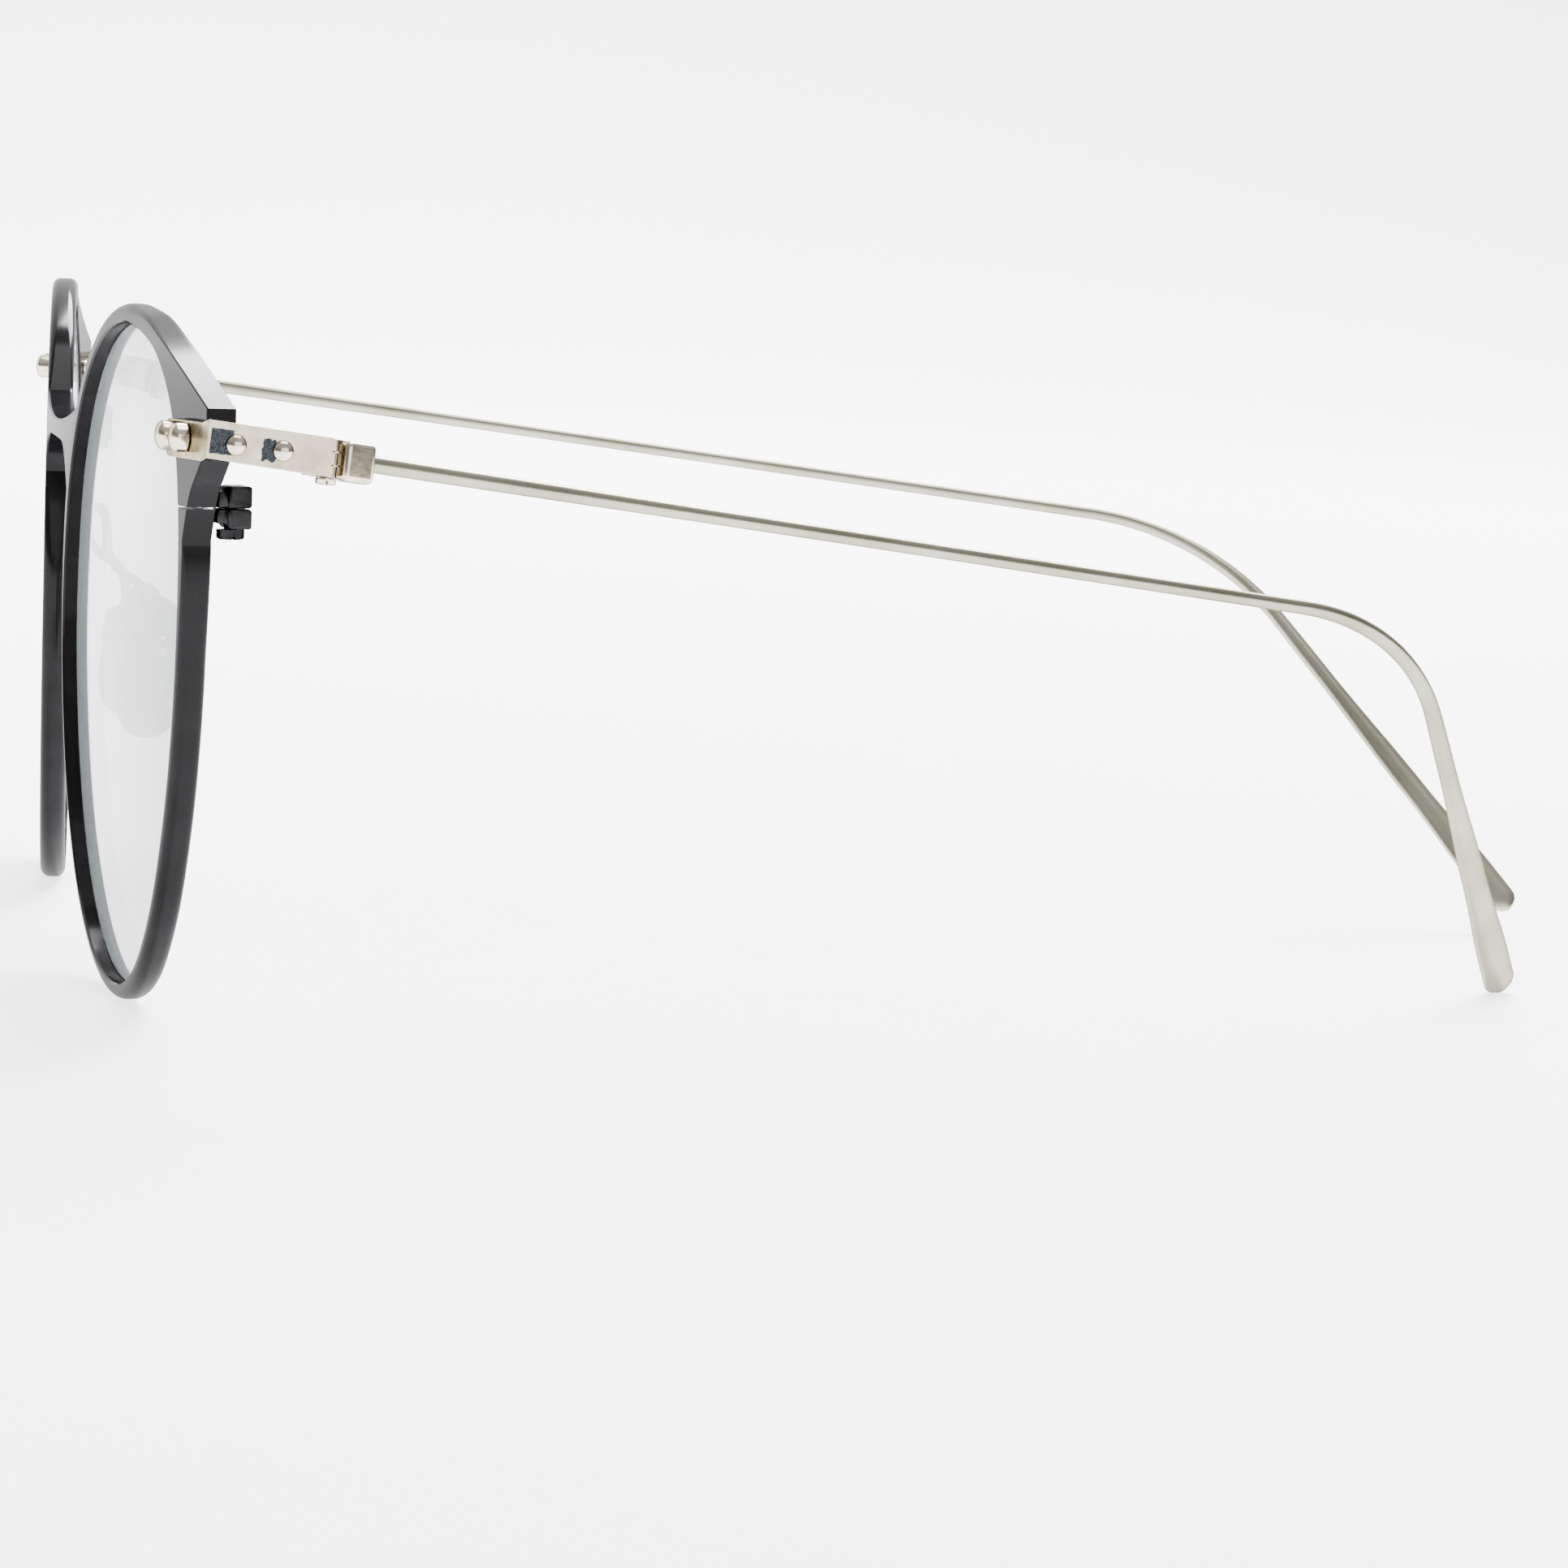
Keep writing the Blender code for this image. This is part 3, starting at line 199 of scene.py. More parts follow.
# The nose pads.
PAD_ARM_PATH = (
    (11.6, -0.42, 9.2), (11.5, 0.1, 9.0), (10.9, 0.5, 7.6), (10.3, 0.65, 5.4),
    (9.9, 1.7, 4.0), (9.8, 2.95, 3.1), (9.75, 3.5, 1.6), (9.75, 3.55, -0.2),
)
PAD_ARM_RADIUS = 0.38 * MM
PAD_ARM_SIDES = 20
PAD_BOX_CENTRE = Vector((9.75, 3.2, -1.8)) * MM
PAD_BOX_SIZE = Vector((1.7, 2.7, 2.9)) * MM
PAD_FLARE = math.radians(32.0)
PAD_SPLAY = math.radians(16.0)
PAD_SLOT_WIDTH = 1.3 * MM
PAD_SCREW_RADIUS = 0.35 * MM
PAD_SCREW_HEAD = (0.85 * MM, 0.7 * MM)
PAD_STANDOFF = 1.25 * MM
PAD_HALF_WIDTH = 3.0 * MM
PAD_HALF_HEIGHT = 5.6 * MM
PAD_THICKNESS = 1.5 * MM
PAD_DROP = 1.2 * MM
PAD_FACE_SIZE = 0.72
PAD_TOP_NARROWING = 0.16
PAD_LAYERS = 16
PAD_SIDES = 64
PAD_BOX_ROUND = 0.3 * MM
PAD_SLOT_END = 0.35 * MM
PAD_TANG_SEAT = 0.4 * MM
PAD_TANG_END = 0.2 * MM
PAD_TANG_BOTTOM = -0.8 * MM
PAD_TANG_TOP = 0.6 * MM
PAD_SCREW_SLOT_HALF_WIDTH = 0.1 * MM

ROUND_SIDES = 40

# The backdrop: a floor that curves up into a wall.
FLOOR_NEAR = 2.4
FLOOR_FAR = -1.2
FLOOR_CURVE = 0.6
FLOOR_DROP = 0.02 * MM
WALL_TOP = 3.0
BACKDROP_HALF_WIDTH = 3.0

# The lights: name, size, radiance, place, target and colour.
LIGHTS = (
    ("overhead", (0.8, 0.8), 7.0, (0.0, 0.1, 1.1), (0, 0, 0), (0.97, 0.96, 1.0)),
    ("back_box", (0.75, 0.75), 85.0, (-1.0, 0.38, 1.05), (0, 0, 0.02), (0.95, 0.94, 1.0)),
    ("front_box", (0.9, 0.42), 2.9, (0.95, 0.2, 0.27), (0, 0, 0.04), (1.0, 0.99, 0.96)),
)

# The camera, placed in the pair's own frame.
CAMERA_PLACE = Vector((467.47, -35.03, 38.25)) * MM
CAMERA_LENS = 135.9
CAMERA_SENSOR = 36.0
CAMERA_YAW = math.radians(10.98)
CAMERA_PITCH = math.radians(6.35)
CAMERA_ROLL = math.radians(-0.08)

# Painted reflections on the endpiece, dark spots standing in for dark surroundings mirrored in the
# plate: place along it from the hinge, height, half sizes, raggedness.
PAINTED_REFLECTION_SPOTS = (
    (-7.6 * MM, 0.1 * MM, (3.0 * MM, 0.78 * MM, 0.86 * MM), 0.14 * MM),
    (-4.36 * MM, -0.1 * MM, (3.0 * MM, 0.46 * MM, 0.78 * MM), 0.6 * MM),
)


def datum_matrix():
    """How the pair rests on the table, worked out from where the left hinge is."""
    hinge = next(j for j in frame["joints"] if j["name"] == "temple_left_fold")
    axis = Vector(hinge["axis"])
    turn = Matrix.Rotation(HINGE_SLOPE + math.atan2(-axis.y, axis.z), 4, "X")
    return Matrix.Translation(Vector(hinge["pos_m"]) - turn @ HINGE) @ turn


DATUM = datum_matrix()


# ---- pieces

def make_object(name, shape, matrix, side):
    """Turns a bmesh into an object. The right side is the left one mirrored in X."""
    for vertex in shape.verts:
        vertex.co.x *= side
    bmesh.ops.recalc_face_normals(shape, faces=shape.faces)
    if shape.calc_volume(signed=True) < 0:
        bmesh.ops.reverse_faces(shape, faces=shape.faces)
    mesh = bpy.data.meshes.new(name)
    shape.to_mesh(mesh)
    shape.free()
    piece = bpy.data.objects.new(name, mesh)
    bpy.context.scene.collection.objects.link(piece)
    piece.matrix_world = DATUM @ matrix
    return piece


def add_bevel(piece, width, segments=3):
    """Rounds the piece's sharp edges."""
    bevel = piece.modifiers.new("edge", "BEVEL")
    bevel.width = width
    bevel.segments = segments
    bevel.limit_method = "ANGLE"
    bevel.angle_limit = math.radians(40)


def apply_tool(piece, shape, matrix, side, operation):
    """Joins a tool shape to the piece or cuts it away, when the piece is completed."""
    tool = make_object("tool_" + piece.name, shape, matrix, side)
    tool.hide_render = True
    boolean = piece.modifiers.new("tool", "BOOLEAN")
    boolean.operation = operation
    boolean.object = tool


def complete(piece, node, body, material, sharp=34):
    """Applies a piece's modifiers, bakes its place into its mesh, and swaps it for its CAD node."""
    bpy.context.view_layer.update()
    tools = [m.object for m in piece.modifiers if m.type == "BOOLEAN"]
    evaluated = piece.evaluated_get(bpy.context.evaluated_depsgraph_get())
    mesh = bpy.data.meshes.new_from_object(evaluated)
    mesh.transform(piece.matrix_world)
    piece.modifiers.clear()
    piece.data = mesh
    piece.matrix_world = Matrix()
    for tool in tools:
        bpy.data.objects.remove(tool, do_unlink=True)
    mesh.shade_smooth()
    mesh.set_sharp_from_angle(angle=math.radians(sharp))
    weighted = piece.modifiers.new("normals", "WEIGHTED_NORMAL")
    weighted.keep_sharp = True
    mesh.materials.clear()
    mesh.materials.append(material)
    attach(piece, body)
    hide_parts(node)


# ---- shapes

def box_shape(low, high, matrix=Matrix()):
    """A box between two opposite corners."""
    shape = bmesh.new()
    bmesh.ops.create_cube(shape, size=1.0)
    for vertex in shape.verts:
        share = vertex.co + Vector((0.5, 0.5, 0.5))
        corner = [a + (b - a) * s for a, b, s in zip(low, high, share)]
        vertex.co = matrix @ Vector(corner)
    return shape


def turned_shape(profile, matrix=Matrix(), sides=ROUND_SIDES):
    """A solid turned about local Z. The profile's (radius, height) points start and end at radius 0."""
    shape = bmesh.new()
    start = shape.verts.new(matrix @ Vector((0, 0, profile[0][1])))
    end = shape.verts.new(matrix @ Vector((0, 0, profile[-1][1])))
    rings = []
    for radius, height in profile[1:-1]:
        ring = []
        for i in range(sides):
            angle = 2 * math.pi * i / sides
            point = Vector((radius * math.cos(angle), radius * math.sin(angle), height))
            ring.append(shape.verts.new(matrix @ point))
        rings.append(ring)
    for i in range(sides):
        j = (i + 1) % sides
        shape.faces.new((start, rings[0][i], rings[0][j]))
        shape.faces.new((end, rings[-1][j], rings[-1][i]))
        for upper, lower in zip(rings, rings[1:]):
            shape.faces.new((upper[i], lower[i], lower[j], upper[j]))
    return shape


def cylinder_shape(radius, low, high, matrix=Matrix(), sides=ROUND_SIDES):
    profile = ((0, low), (radius, low), (radius, high), (0, high))
    return turned_shape(profile, matrix, sides)


def lofted_shape(sections):
    """Joins closed sections of equal point counts, and closes both ends."""
    shape = bmesh.new()
    loops = [[shape.verts.new(point) for point in section] for section in sections]
    count = len(loops[0])
    for here, there in zip(loops, loops[1:]):
        for i in range(count):
            j = (i + 1) % count
            shape.faces.new((here[i], here[j], there[j], there[i]))
    shape.faces.new(loops[0])
    shape.faces.new(reversed(loops[-1]))
    return shape


def rivet_profile(head, crown, shank, grip, tail):
    """A head whose top crown share is domed, a shank through the grip, and a small tail below it."""
    head_radius, head_height = head
    tail_radius, tail_height = tail
    drop = crown * head_height
    profile = [(0, head_height)]
    for step in range(1, 13):
        angle = math.radians(7.5 * step)
        profile.append((head_radius * math.sin(angle), head_height - drop * (1 - math.cos(angle))))
    profile += [
        (head_radius, 0.05 * MM),
        (head_radius - 0.05 * MM, 0),
        (shank, 0),
        (shank, -grip),
        (tail_radius, -grip),
        (0.94 * tail_radius, -grip - 0.5 * tail_height),
        (0.6 * tail_radius, -grip - tail_height),
        (0, -grip - tail_height),
    ]
    return profile


def smooth_curve(points, closed, per_span):
    """Points along a Catmull-Rom curve through the given ones."""
    count = len(points)
    spans = count if closed else count - 1
    result = []
    for i in range(spans):
        around = []
        for k in (i - 1, i, i + 1, i + 2):
            index = k % count if closed else min(max(k, 0), count - 1)
            around.append(Vector(points[index]))
        before, start, end, after = around
        for step in range(per_span):
            t = step / per_span
            result.append(0.5 * (
                2 * start
                + (end - before) * t
                + (2 * before - 5 * start + 4 * end - after) * t * t
                + (3 * start - before - 3 * end + after) * t ** 3
            ))
    if not closed:
        result.append(Vector(points[-1]))
    return result


def points_along(line, count):
    """Evenly spaced points along an open line, both ends included."""
    lengths = [0.0]
    for here, there in zip(line, line[1:]):
        lengths.append(lengths[-1] + (there - here).length)
    result = []
    i = 0
    for k in range(count):
        wanted = lengths[-1] * k / (count - 1)
        while i < len(line) - 2 and lengths[i + 1] < wanted:
            i += 1
        step = max(lengths[i + 1] - lengths[i], 1e-12)
        result.append(line[i].lerp(line[i + 1], min(1.0, (wanted - lengths[i]) / step)))
    return result


# ---- frames of reference

def rim_matrix(side):
    turn = Matrix.Rotation(side * WRAP, 4, "Z") @ Matrix.Rotation(-TILT, 4, "X")
    return Matrix.Translation((side * EYE_CENTRE_X, 0, 0)) @ turn


def hinge_matrix(side):
    place = Matrix.Translation((side * HINGE.x, HINGE.y, HINGE.z))
    slope = Matrix.Rotation(-HINGE_SLOPE, 4, "X")
    return place @ slope @ Matrix.Rotation(-side * HINGE_LEAN, 4, "Y")


def temple_matrix(side):
    fold = LEFT_FOLD if side == LEFT else RIGHT_FOLD
    return hinge_matrix(side) @ Matrix.Rotation(side * fold, 4, "Z")


def pad_matrix(side):
    turn = Matrix.Rotation(-side * PAD_FLARE, 4, "Z") @ Matrix.Rotation(-side * PAD_SPLAY, 4, "Y")
    centre = Vector((side * PAD_BOX_CENTRE.x, PAD_BOX_CENTRE.y, PAD_BOX_CENTRE.z))
    return Matrix.Translation(centre) @ turn


def rim_point(u, y, v):
    """A point of the front: its outer part curves back."""
    bend = max(0.0, u - LUG_BEND_START) ** 2 / (2 * LUG_BEND_RADIUS)
    return Vector((u, y + bend, v))


def lug_matrix(u, v):
    slope = max(0.0, u - LUG_BEND_START) / LUG_BEND_RADIUS
    place = Matrix.Translation(rim_point(u, -RIM_DEPTH / 2, v))
    return place @ Matrix.Rotation(math.atan(slope), 4, "Z") @ Matrix.Rotation(math.pi / 2, 4, "X")


# ---- front and lenses

def eye_line():
    """Even points round the eye opening, and the directions out of it."""
    raw = smooth_curve([(u * MM, v * MM) for u, v in EYE_OUTLINE], True, 24)
    raw.append(raw[0].copy())
    points = points_along(raw, RIM_STATIONS + 1)[:-1]
    normals = []
    for i in range(RIM_STATIONS):
        run = points[(i + 1) % RIM_STATIONS] - points[i - 1]
        normals.append(Vector((-run.y, run.x)).normalized())
    return points, normals


def outer_line(points, normals):
    """The front's outer outline at the eye opening's stations, drawn out to the lug."""
    outer = [p + n * (RIM_WALL + BROW_WALL * max(0.0, n.y)) for p, n in zip(points, normals)]
    first = round(LUG_FROM * RIM_STATIONS)
    last = round(LUG_TO * RIM_STATIONS)
    corner = round(LUG_CORNER * RIM_STATIONS)
    upper = smooth_curve([outer[first]] + [Vector(p) * MM for p in LUG_UPPER], False, 24)
    lower = smooth_curve([Vector(p) * MM for p in LUG_LOWER] + [outer[last]], False, 24)
    outer[first:corner + 1] = points_along(upper, corner + 1 - first)
    outer[corner + 1:last + 1] = points_along(lower, last - corner)
    return outer


def roundness_at(station):
    """How rounded the outer edge is at a station, from 0 to 1."""
    share = station / RIM_STATIONS
    for (start, low), (end, high) in zip(ROUNDNESS, ROUNDNESS[1:]):
        if share <= end:
            return low + (high - low) * (share - start) / (end - start)
    return ROUNDNESS[-1][1]


def corner_steps(radius):
    """A quarter round: how far in from the edge, and how far from the face, from face to edge."""
    steps = []
    for i in range(EDGE_STEPS + 1):
        angle = math.pi / 2 * i / EDGE_STEPS
        steps.append((radius * (1 - math.sin(angle)), radius * (1 - math.cos(angle))))
    return steps


def edge_steps(roundness):
    """Across the outer edge from front to back: how far in from the edge, and the depth."""
    front = OUTER_SOFT_EDGE + (OUTER_ROUND - OUTER_SOFT_EDGE) * roundness
    back = BACK_ROUND + (OUTER_ROUND - BACK_ROUND) * roundness
    steps = [(inset, depth - RIM_DEPTH / 2) for inset, depth in corner_steps(front)]
    return steps + [(inset, RIM_DEPTH / 2 - depth) for inset, depth in reversed(corner_steps(back))]


def rim_section(inner, normal, outer, roundness):
    """One cross-section of the rim: a rounded wall with the lens groove on its inner side."""
    outward = (outer - inner).normalized()
    section = [(outer - outward * inset, depth) for inset, depth in edge_steps(roundness)]
    half = RIM_DEPTH / 2
    soft = INNER_SOFT_EDGE
    section += [
        (inner + normal * soft, half),
        (inner, half - soft),
        (inner, LENS_SEAT + GROOVE_HALF_WIDTH),
        (inner + normal * GROOVE_DEPTH, LENS_SEAT),
        (inner, LENS_SEAT - GROOVE_HALF_WIDTH),
        (inner, soft - half),
        (inner + normal * soft, -half),
    ]
    return [rim_point(flat.x, y, flat.y) for flat, y in section]


def bridge_point(end, row, step, share):
    """A point between the bridge's two ends; share runs from -1 at the right to 1 at the left."""
    inset, depth = edge_steps(0.0)[step]
    middle = BRIDGE_TOP - BRIDGE_HEIGHT * row
    if row == 0:
        middle -= inset
    elif row == 1:
        middle += inset
    height = middle + (end.z - middle) * abs(share) ** (2.0 + 4.0 * row)
    centre = depth - BRIDGE_FORWARD + middle * math.tan(TILT)
    return Vector((end.x * share, centre + (end.y - centre) * share * share, height))


def bridge_outline(bottom):
    """The closed outline of the bridge's section, as (row, point across the edge) pairs."""
    last = EDGE_POINTS - 1
    outline = [(row, 0) for row in range(bottom + 1)]
    outline += [(bottom, step) for step in range(1, last)]
    outline += [(row, last) for row in range(bottom, -1, -1)]
    return outline + [(0, step) for step in range(last - 1, 0, -1)]


def front_frame_shape():
    """Two rims whose facing outer walls open into one bridge."""
    points, normals = eye_line()
    outer = outer_line(points, normals)
    rounded = [roundness_at(i) for i in range(RIM_STATIONS)]
    sections = [rim_section(*station) for station in zip(points, normals, outer, rounded)]
    first = round(BRIDGE_FROM * RIM_STATIONS)
    last = round(BRIDGE_TO * RIM_STATIONS)
    rows = list(range(first, last - 1, -1))
    shape = bmesh.new()
    rings = {}
    for side, _ in SIDES:
        ring = []
        for section in sections:
            places = [rim_matrix(LEFT) @ point for point in section]
            ring.append([shape.verts.new((side * p.x, p.y, p.z)) for p in places])
        rings[side] = ring
        count = len(sections[0])
        for i in range(RIM_STATIONS):
            j = (i + 1) % RIM_STATIONS
            in_bridge = i in rows and j in rows
            for k in range(count):
                if in_bridge and k < EDGE_POINTS - 1:
                    continue
                m = (k + 1) % count
                shape.faces.new((ring[i][k], ring[j][k], ring[j][m], ring[i][m]))
    bottom = len(rows) - 1
    grid = []
    for column in range(BRIDGE_COLUMNS + 1):
        share = 1 - 2 * column / BRIDGE_COLUMNS
        loop = []
        for row, step in bridge_outline(bottom):
            if column in (0, BRIDGE_COLUMNS):
                side = LEFT if column == 0 else RIGHT
                loop.append(rings[side][rows[row]][step])
            else:
                end = rings[LEFT][rows[row]][step].co
                loop.append(shape.verts.new(bridge_point(end, row / bottom, step, share)))
        grid.append(loop)
    for here, there in zip(grid, grid[1:]):
        for i in range(len(here)):
            j = (i + 1) % len(here)
            shape.faces.new((here[i], here[j], there[j], there[i]))
    return shape


def lens_shape():
    """Two domed faces that meet in a bevelled edge, whose crest stands in the rim's groove."""
    points, normals = eye_line()
    half = LENS_EDGE_THICKNESS / 2
    shape = bmesh.new()
    edges = {}
    for face in (-1, 1):
        rings = []
        for ring in range(1, LENS_RINGS + 1):
            share = ring / LENS_RINGS
            loop = []
            for point, normal in zip(points, normals):
                flat = (point - normal * LENS_INSET) * share
                y = LENS_SEAT + face * half - LENS_DOME * (1 - share * share)
                loop.append(shape.verts.new(rim_point(flat.x, y, flat.y)))
            rings.append(loop)
        centre = shape.verts.new((0, LENS_SEAT + face * half - LENS_DOME, 0))
        for i in range(RIM_STATIONS):
            j = (i + 1) % RIM_STATIONS
            shape.faces.new((centre, rings[0][i], rings[0][j]))
            for a, b in zip(rings, rings[1:]):
                shape.faces.new((a[i], b[i], b[j], a[j]))
        edges[face] = rings[-1]
    crest = []
    for point, normal in zip(points, normals):
        flat = point + normal * LENS_BEVEL
        crest.append(shape.verts.new(rim_point(flat.x, LENS_SEAT, flat.y)))
    for i in range(RIM_STATIONS):
        j = (i + 1) % RIM_STATIONS
        for face in (-1, 1):
            edge = edges[face]
            shape.faces.new((edge[i], crest[i], crest[j], edge[j]))
    return shape


def add_front(black):
    piece = make_object("front_frame_skin", front_frame_shape(), Matrix(), LEFT)
    for side, _ in SIDES:
        split = box_shape(
            (*SPLIT_FROM, SPLIT_HEIGHT - SPLIT_WIDTH / 2),
            (*SPLIT_TO, SPLIT_HEIGHT + SPLIT_WIDTH / 2),
        )
        apply_tool(piece, split, rim_matrix(side), side, "DIFFERENCE")
    complete(piece, "front_frame", "front", black)


def add_lens(side, name, clear):
    piece = make_object(f"lens_{name}_skin", lens_shape(), rim_matrix(side), side)
    complete(piece, f"lens_{name}", "front", clear)


def closing_screw_matrix():
    """The closing screw's axis, upright behind the rim's outer side."""
    slope = (BLOCK_U - LUG_BEND_START) / LUG_BEND_RADIUS
    back = RIM_DEPTH / 2 + 1.5 * GAP + BLOCK_DEPTH / 2
    turn = Matrix.Rotation(math.atan(slope), 4, "Z")
    return Matrix.Translation(rim_point(BLOCK_U, back, SPLIT_HEIGHT)) @ turn


def block_shape(low, high):
    """Half a closing block: a narrower neck at the rim, then the body."""
    half_depth = BLOCK_DEPTH / 2
    centre = closing_screw_matrix()
    neck = BLOCK_NECK - half_depth
    middle = low if low > 0 else high
    sections = []
    for y, width, reach in (
        (-half_depth, BLOCK_NECK_WIDTH, BLOCK_NECK_REACH),
        (neck, BLOCK_NECK_WIDTH, BLOCK_NECK_REACH),
        (neck + BLOCK_SHOULDER, 1.0, 1.0),
        (half_depth, 1.0, 1.0),
    ):
        x = BLOCK_HALF_WIDTH * width
        bottom = middle + (low - middle) * reach
        top = middle + (high - middle) * reach
        corners = ((-x, bottom), (x, bottom), (x, top), (-x, top))
        sections.append([centre @ Vector((a, y, b)) for a, b in corners])
    return lofted_shape(sections)


def add_closing_block(side, name, dark):
    """Two block halves that meet at the rim's split, drawn together by one screw."""
    rim = rim_matrix(side)
    centre = closing_screw_matrix()
    shift = BLOCK_SPLIT_WIDTH / 2
    for half, low, high in (
        ("upper", shift, BLOCK_UPPER_HEIGHT),
        ("lower", -BLOCK_LOWER_HEIGHT, -shift),
    ):
        node = f"closing_block_{half}_{name}"
        block = make_object(node + "_skin", block_shape(low, high), rim, side)
        add_bevel(block, BLOCK_BEVEL)
        complete(block, node, "front", dark)
    top = BLOCK_UPPER_HEIGHT - CLOSING_SCREW_END
    under = -BLOCK_LOWER_HEIGHT - GAP / 2
    radius = CLOSING_SCREW_HEAD_RADIUS
    bottom = under - CLOSING_SCREW_HEAD_HEIGHT
    profile = (
        (0, top), (CLOSING_SCREW_RADIUS, top), (CLOSING_SCREW_RADIUS, under), (radius, under),
        (radius, bottom + 0.2 * MM), (0.94 * radius, bottom + 0.07 * MM), (0.8 * radius, bottom),
        (0, bottom),
    )
    screw = make_object(f"closing_screw_{name}_skin", turned_shape(profile, centre), rim, side)
    slot = box_shape(
        (-2 * radius, -CLOSING_SLOT_HALF_WIDTH, bottom - GAP),
        (2 * radius, CLOSING_SLOT_HALF_WIDTH, bottom + CLOSING_SLOT_DEPTH),
        centre,
    )
    apply_tool(screw, slot, rim, side, "DIFFERENCE")
    complete(screw, f"closing_screw_{name}", "front", dark)


# ---- endpieces, rivets and hinges

def endpiece_shape():
    """A strip lofted from the rounded tab end, along the lug, round the corner and back."""
    to_rim = rim_matrix(LEFT)
    to_hinge = hinge_matrix(LEFT)
    front = -RIM_DEPTH / 2 - GAP
    corner_u = (HINGE.x + PLATE_OUTER - EYE_CENTRE_X) / math.cos(WRAP)
    radius = TAB_HEIGHT / 2
    runs = [radius * (1 - math.cos(math.radians(angle))) for angle in range(6, 91, 6)]
    rest = corner_u - 1.5 * MM - (TAB_FROM + radius)
    runs += [radius + rest * share for share in (0.25, 0.5, 0.75, 1.0)]
    stations = []
    upright = to_rim.to_3x3() @ Vector((0, 0, 1))
    for run in runs:
        u = TAB_FROM + run
        share = run / (corner_u - TAB_FROM)
        v = TAB_CENTRE[0] + (TAB_CENTRE[1] - TAB_CENTRE[0]) * share
        short = max(0.0, 1 - run / radius)
        height = TAB_HEIGHT * math.sqrt(1 - short * short)
        outer = to_rim @ rim_point(u, front - TAB_THICKNESS, v)
        inner = to_rim @ rim_point(u, front, v)
        stations.append((outer, inner, upright, height))
    lean = to_hinge.to_3x3() @ Vector((0, 0, 1))
    inner_x = PLATE_OUTER - PLATE_THICKNESS
    for back, height in ((-PLATE_LENGTH, TAB_HEIGHT), (-GAP / 2, PLATE_HEIGHT)):
        step = TAB_THICKNESS if back < -GAP else 0.0
        rise = PLATE_RISE if step else 0.0
        outer = to_hinge @ Vector((PLATE_OUTER, back, rise))
        inner = to_hinge @ Vector((inner_x, back + step, rise))
        direction = (upright + lean).normalized() if step else lean
        stations.append((outer, inner, direction, height))
    sections = []
    for outer, inner, direction, height in stations:
        half = direction * height / 2
        sections.append((outer + half, inner + half, inner - half, outer - half))
    return lofted_shape(sections)


def add_endpiece(side, name, nickel):
    piece = make_object(f"endpiece_{name}_skin", endpiece_shape(), Matrix(), side)
    add_bevel(piece, ENDPIECE_CHAMFER, 3)
    complete(piece, f"endpiece_{name}", "front", nickel)


def add_rivets(side, name, nickel):
    corner_u = (HINGE.x + PLATE_OUTER - EYE_CENTRE_X) / math.cos(WRAP)
    surface = GAP + TAB_THICKNESS
    for label, u in FRONT_RIVETS:
        share = (u - TAB_FROM) / (corner_u - TAB_FROM)
        v = TAB_CENTRE[0] + (TAB_CENTRE[1] - TAB_CENTRE[0]) * share + RIVET_RISE
        matrix = rim_matrix(LEFT) @ lug_matrix(u, v)
        matrix = matrix @ Matrix.Translation((0, 0, surface + GAP / 2))
        grip = surface + RIM_DEPTH + 1.5 * GAP
        profile = rivet_profile(
            FRONT_RIVET_HEAD, FRONT_RIVET_CROWN, FRONT_RIVET_SHANK, grip, FRONT_RIVET_TAIL
        )
        node = f"front_rivet_{label}_{name}"
        piece = make_object(node + "_skin", turned_shape(profile, matrix), Matrix(), side)
        complete(piece, node, "front", nickel)
    inward = Matrix.Rotation(math.pi / 2, 4, "Y")
    grip = PLATE_THICKNESS + LEAF_THICKNESS + 2.5 * GAP
    for label, back in SIDE_RIVETS:
        matrix = Matrix.Translation((PLATE_OUTER + GAP / 2, back, 0)) @ inward
        profile = rivet_profile(
            SIDE_RIVET_HEAD, SIDE_RIVET_CROWN, SIDE_RIVET_SHANK, grip, SIDE_RIVET_TAIL
        )
        node = f"side_rivet_{label}_{name}"
        piece = make_object(node + "_skin", turned_shape(profile, matrix), hinge_matrix(side), side)
        complete(piece, node, "front", nickel)


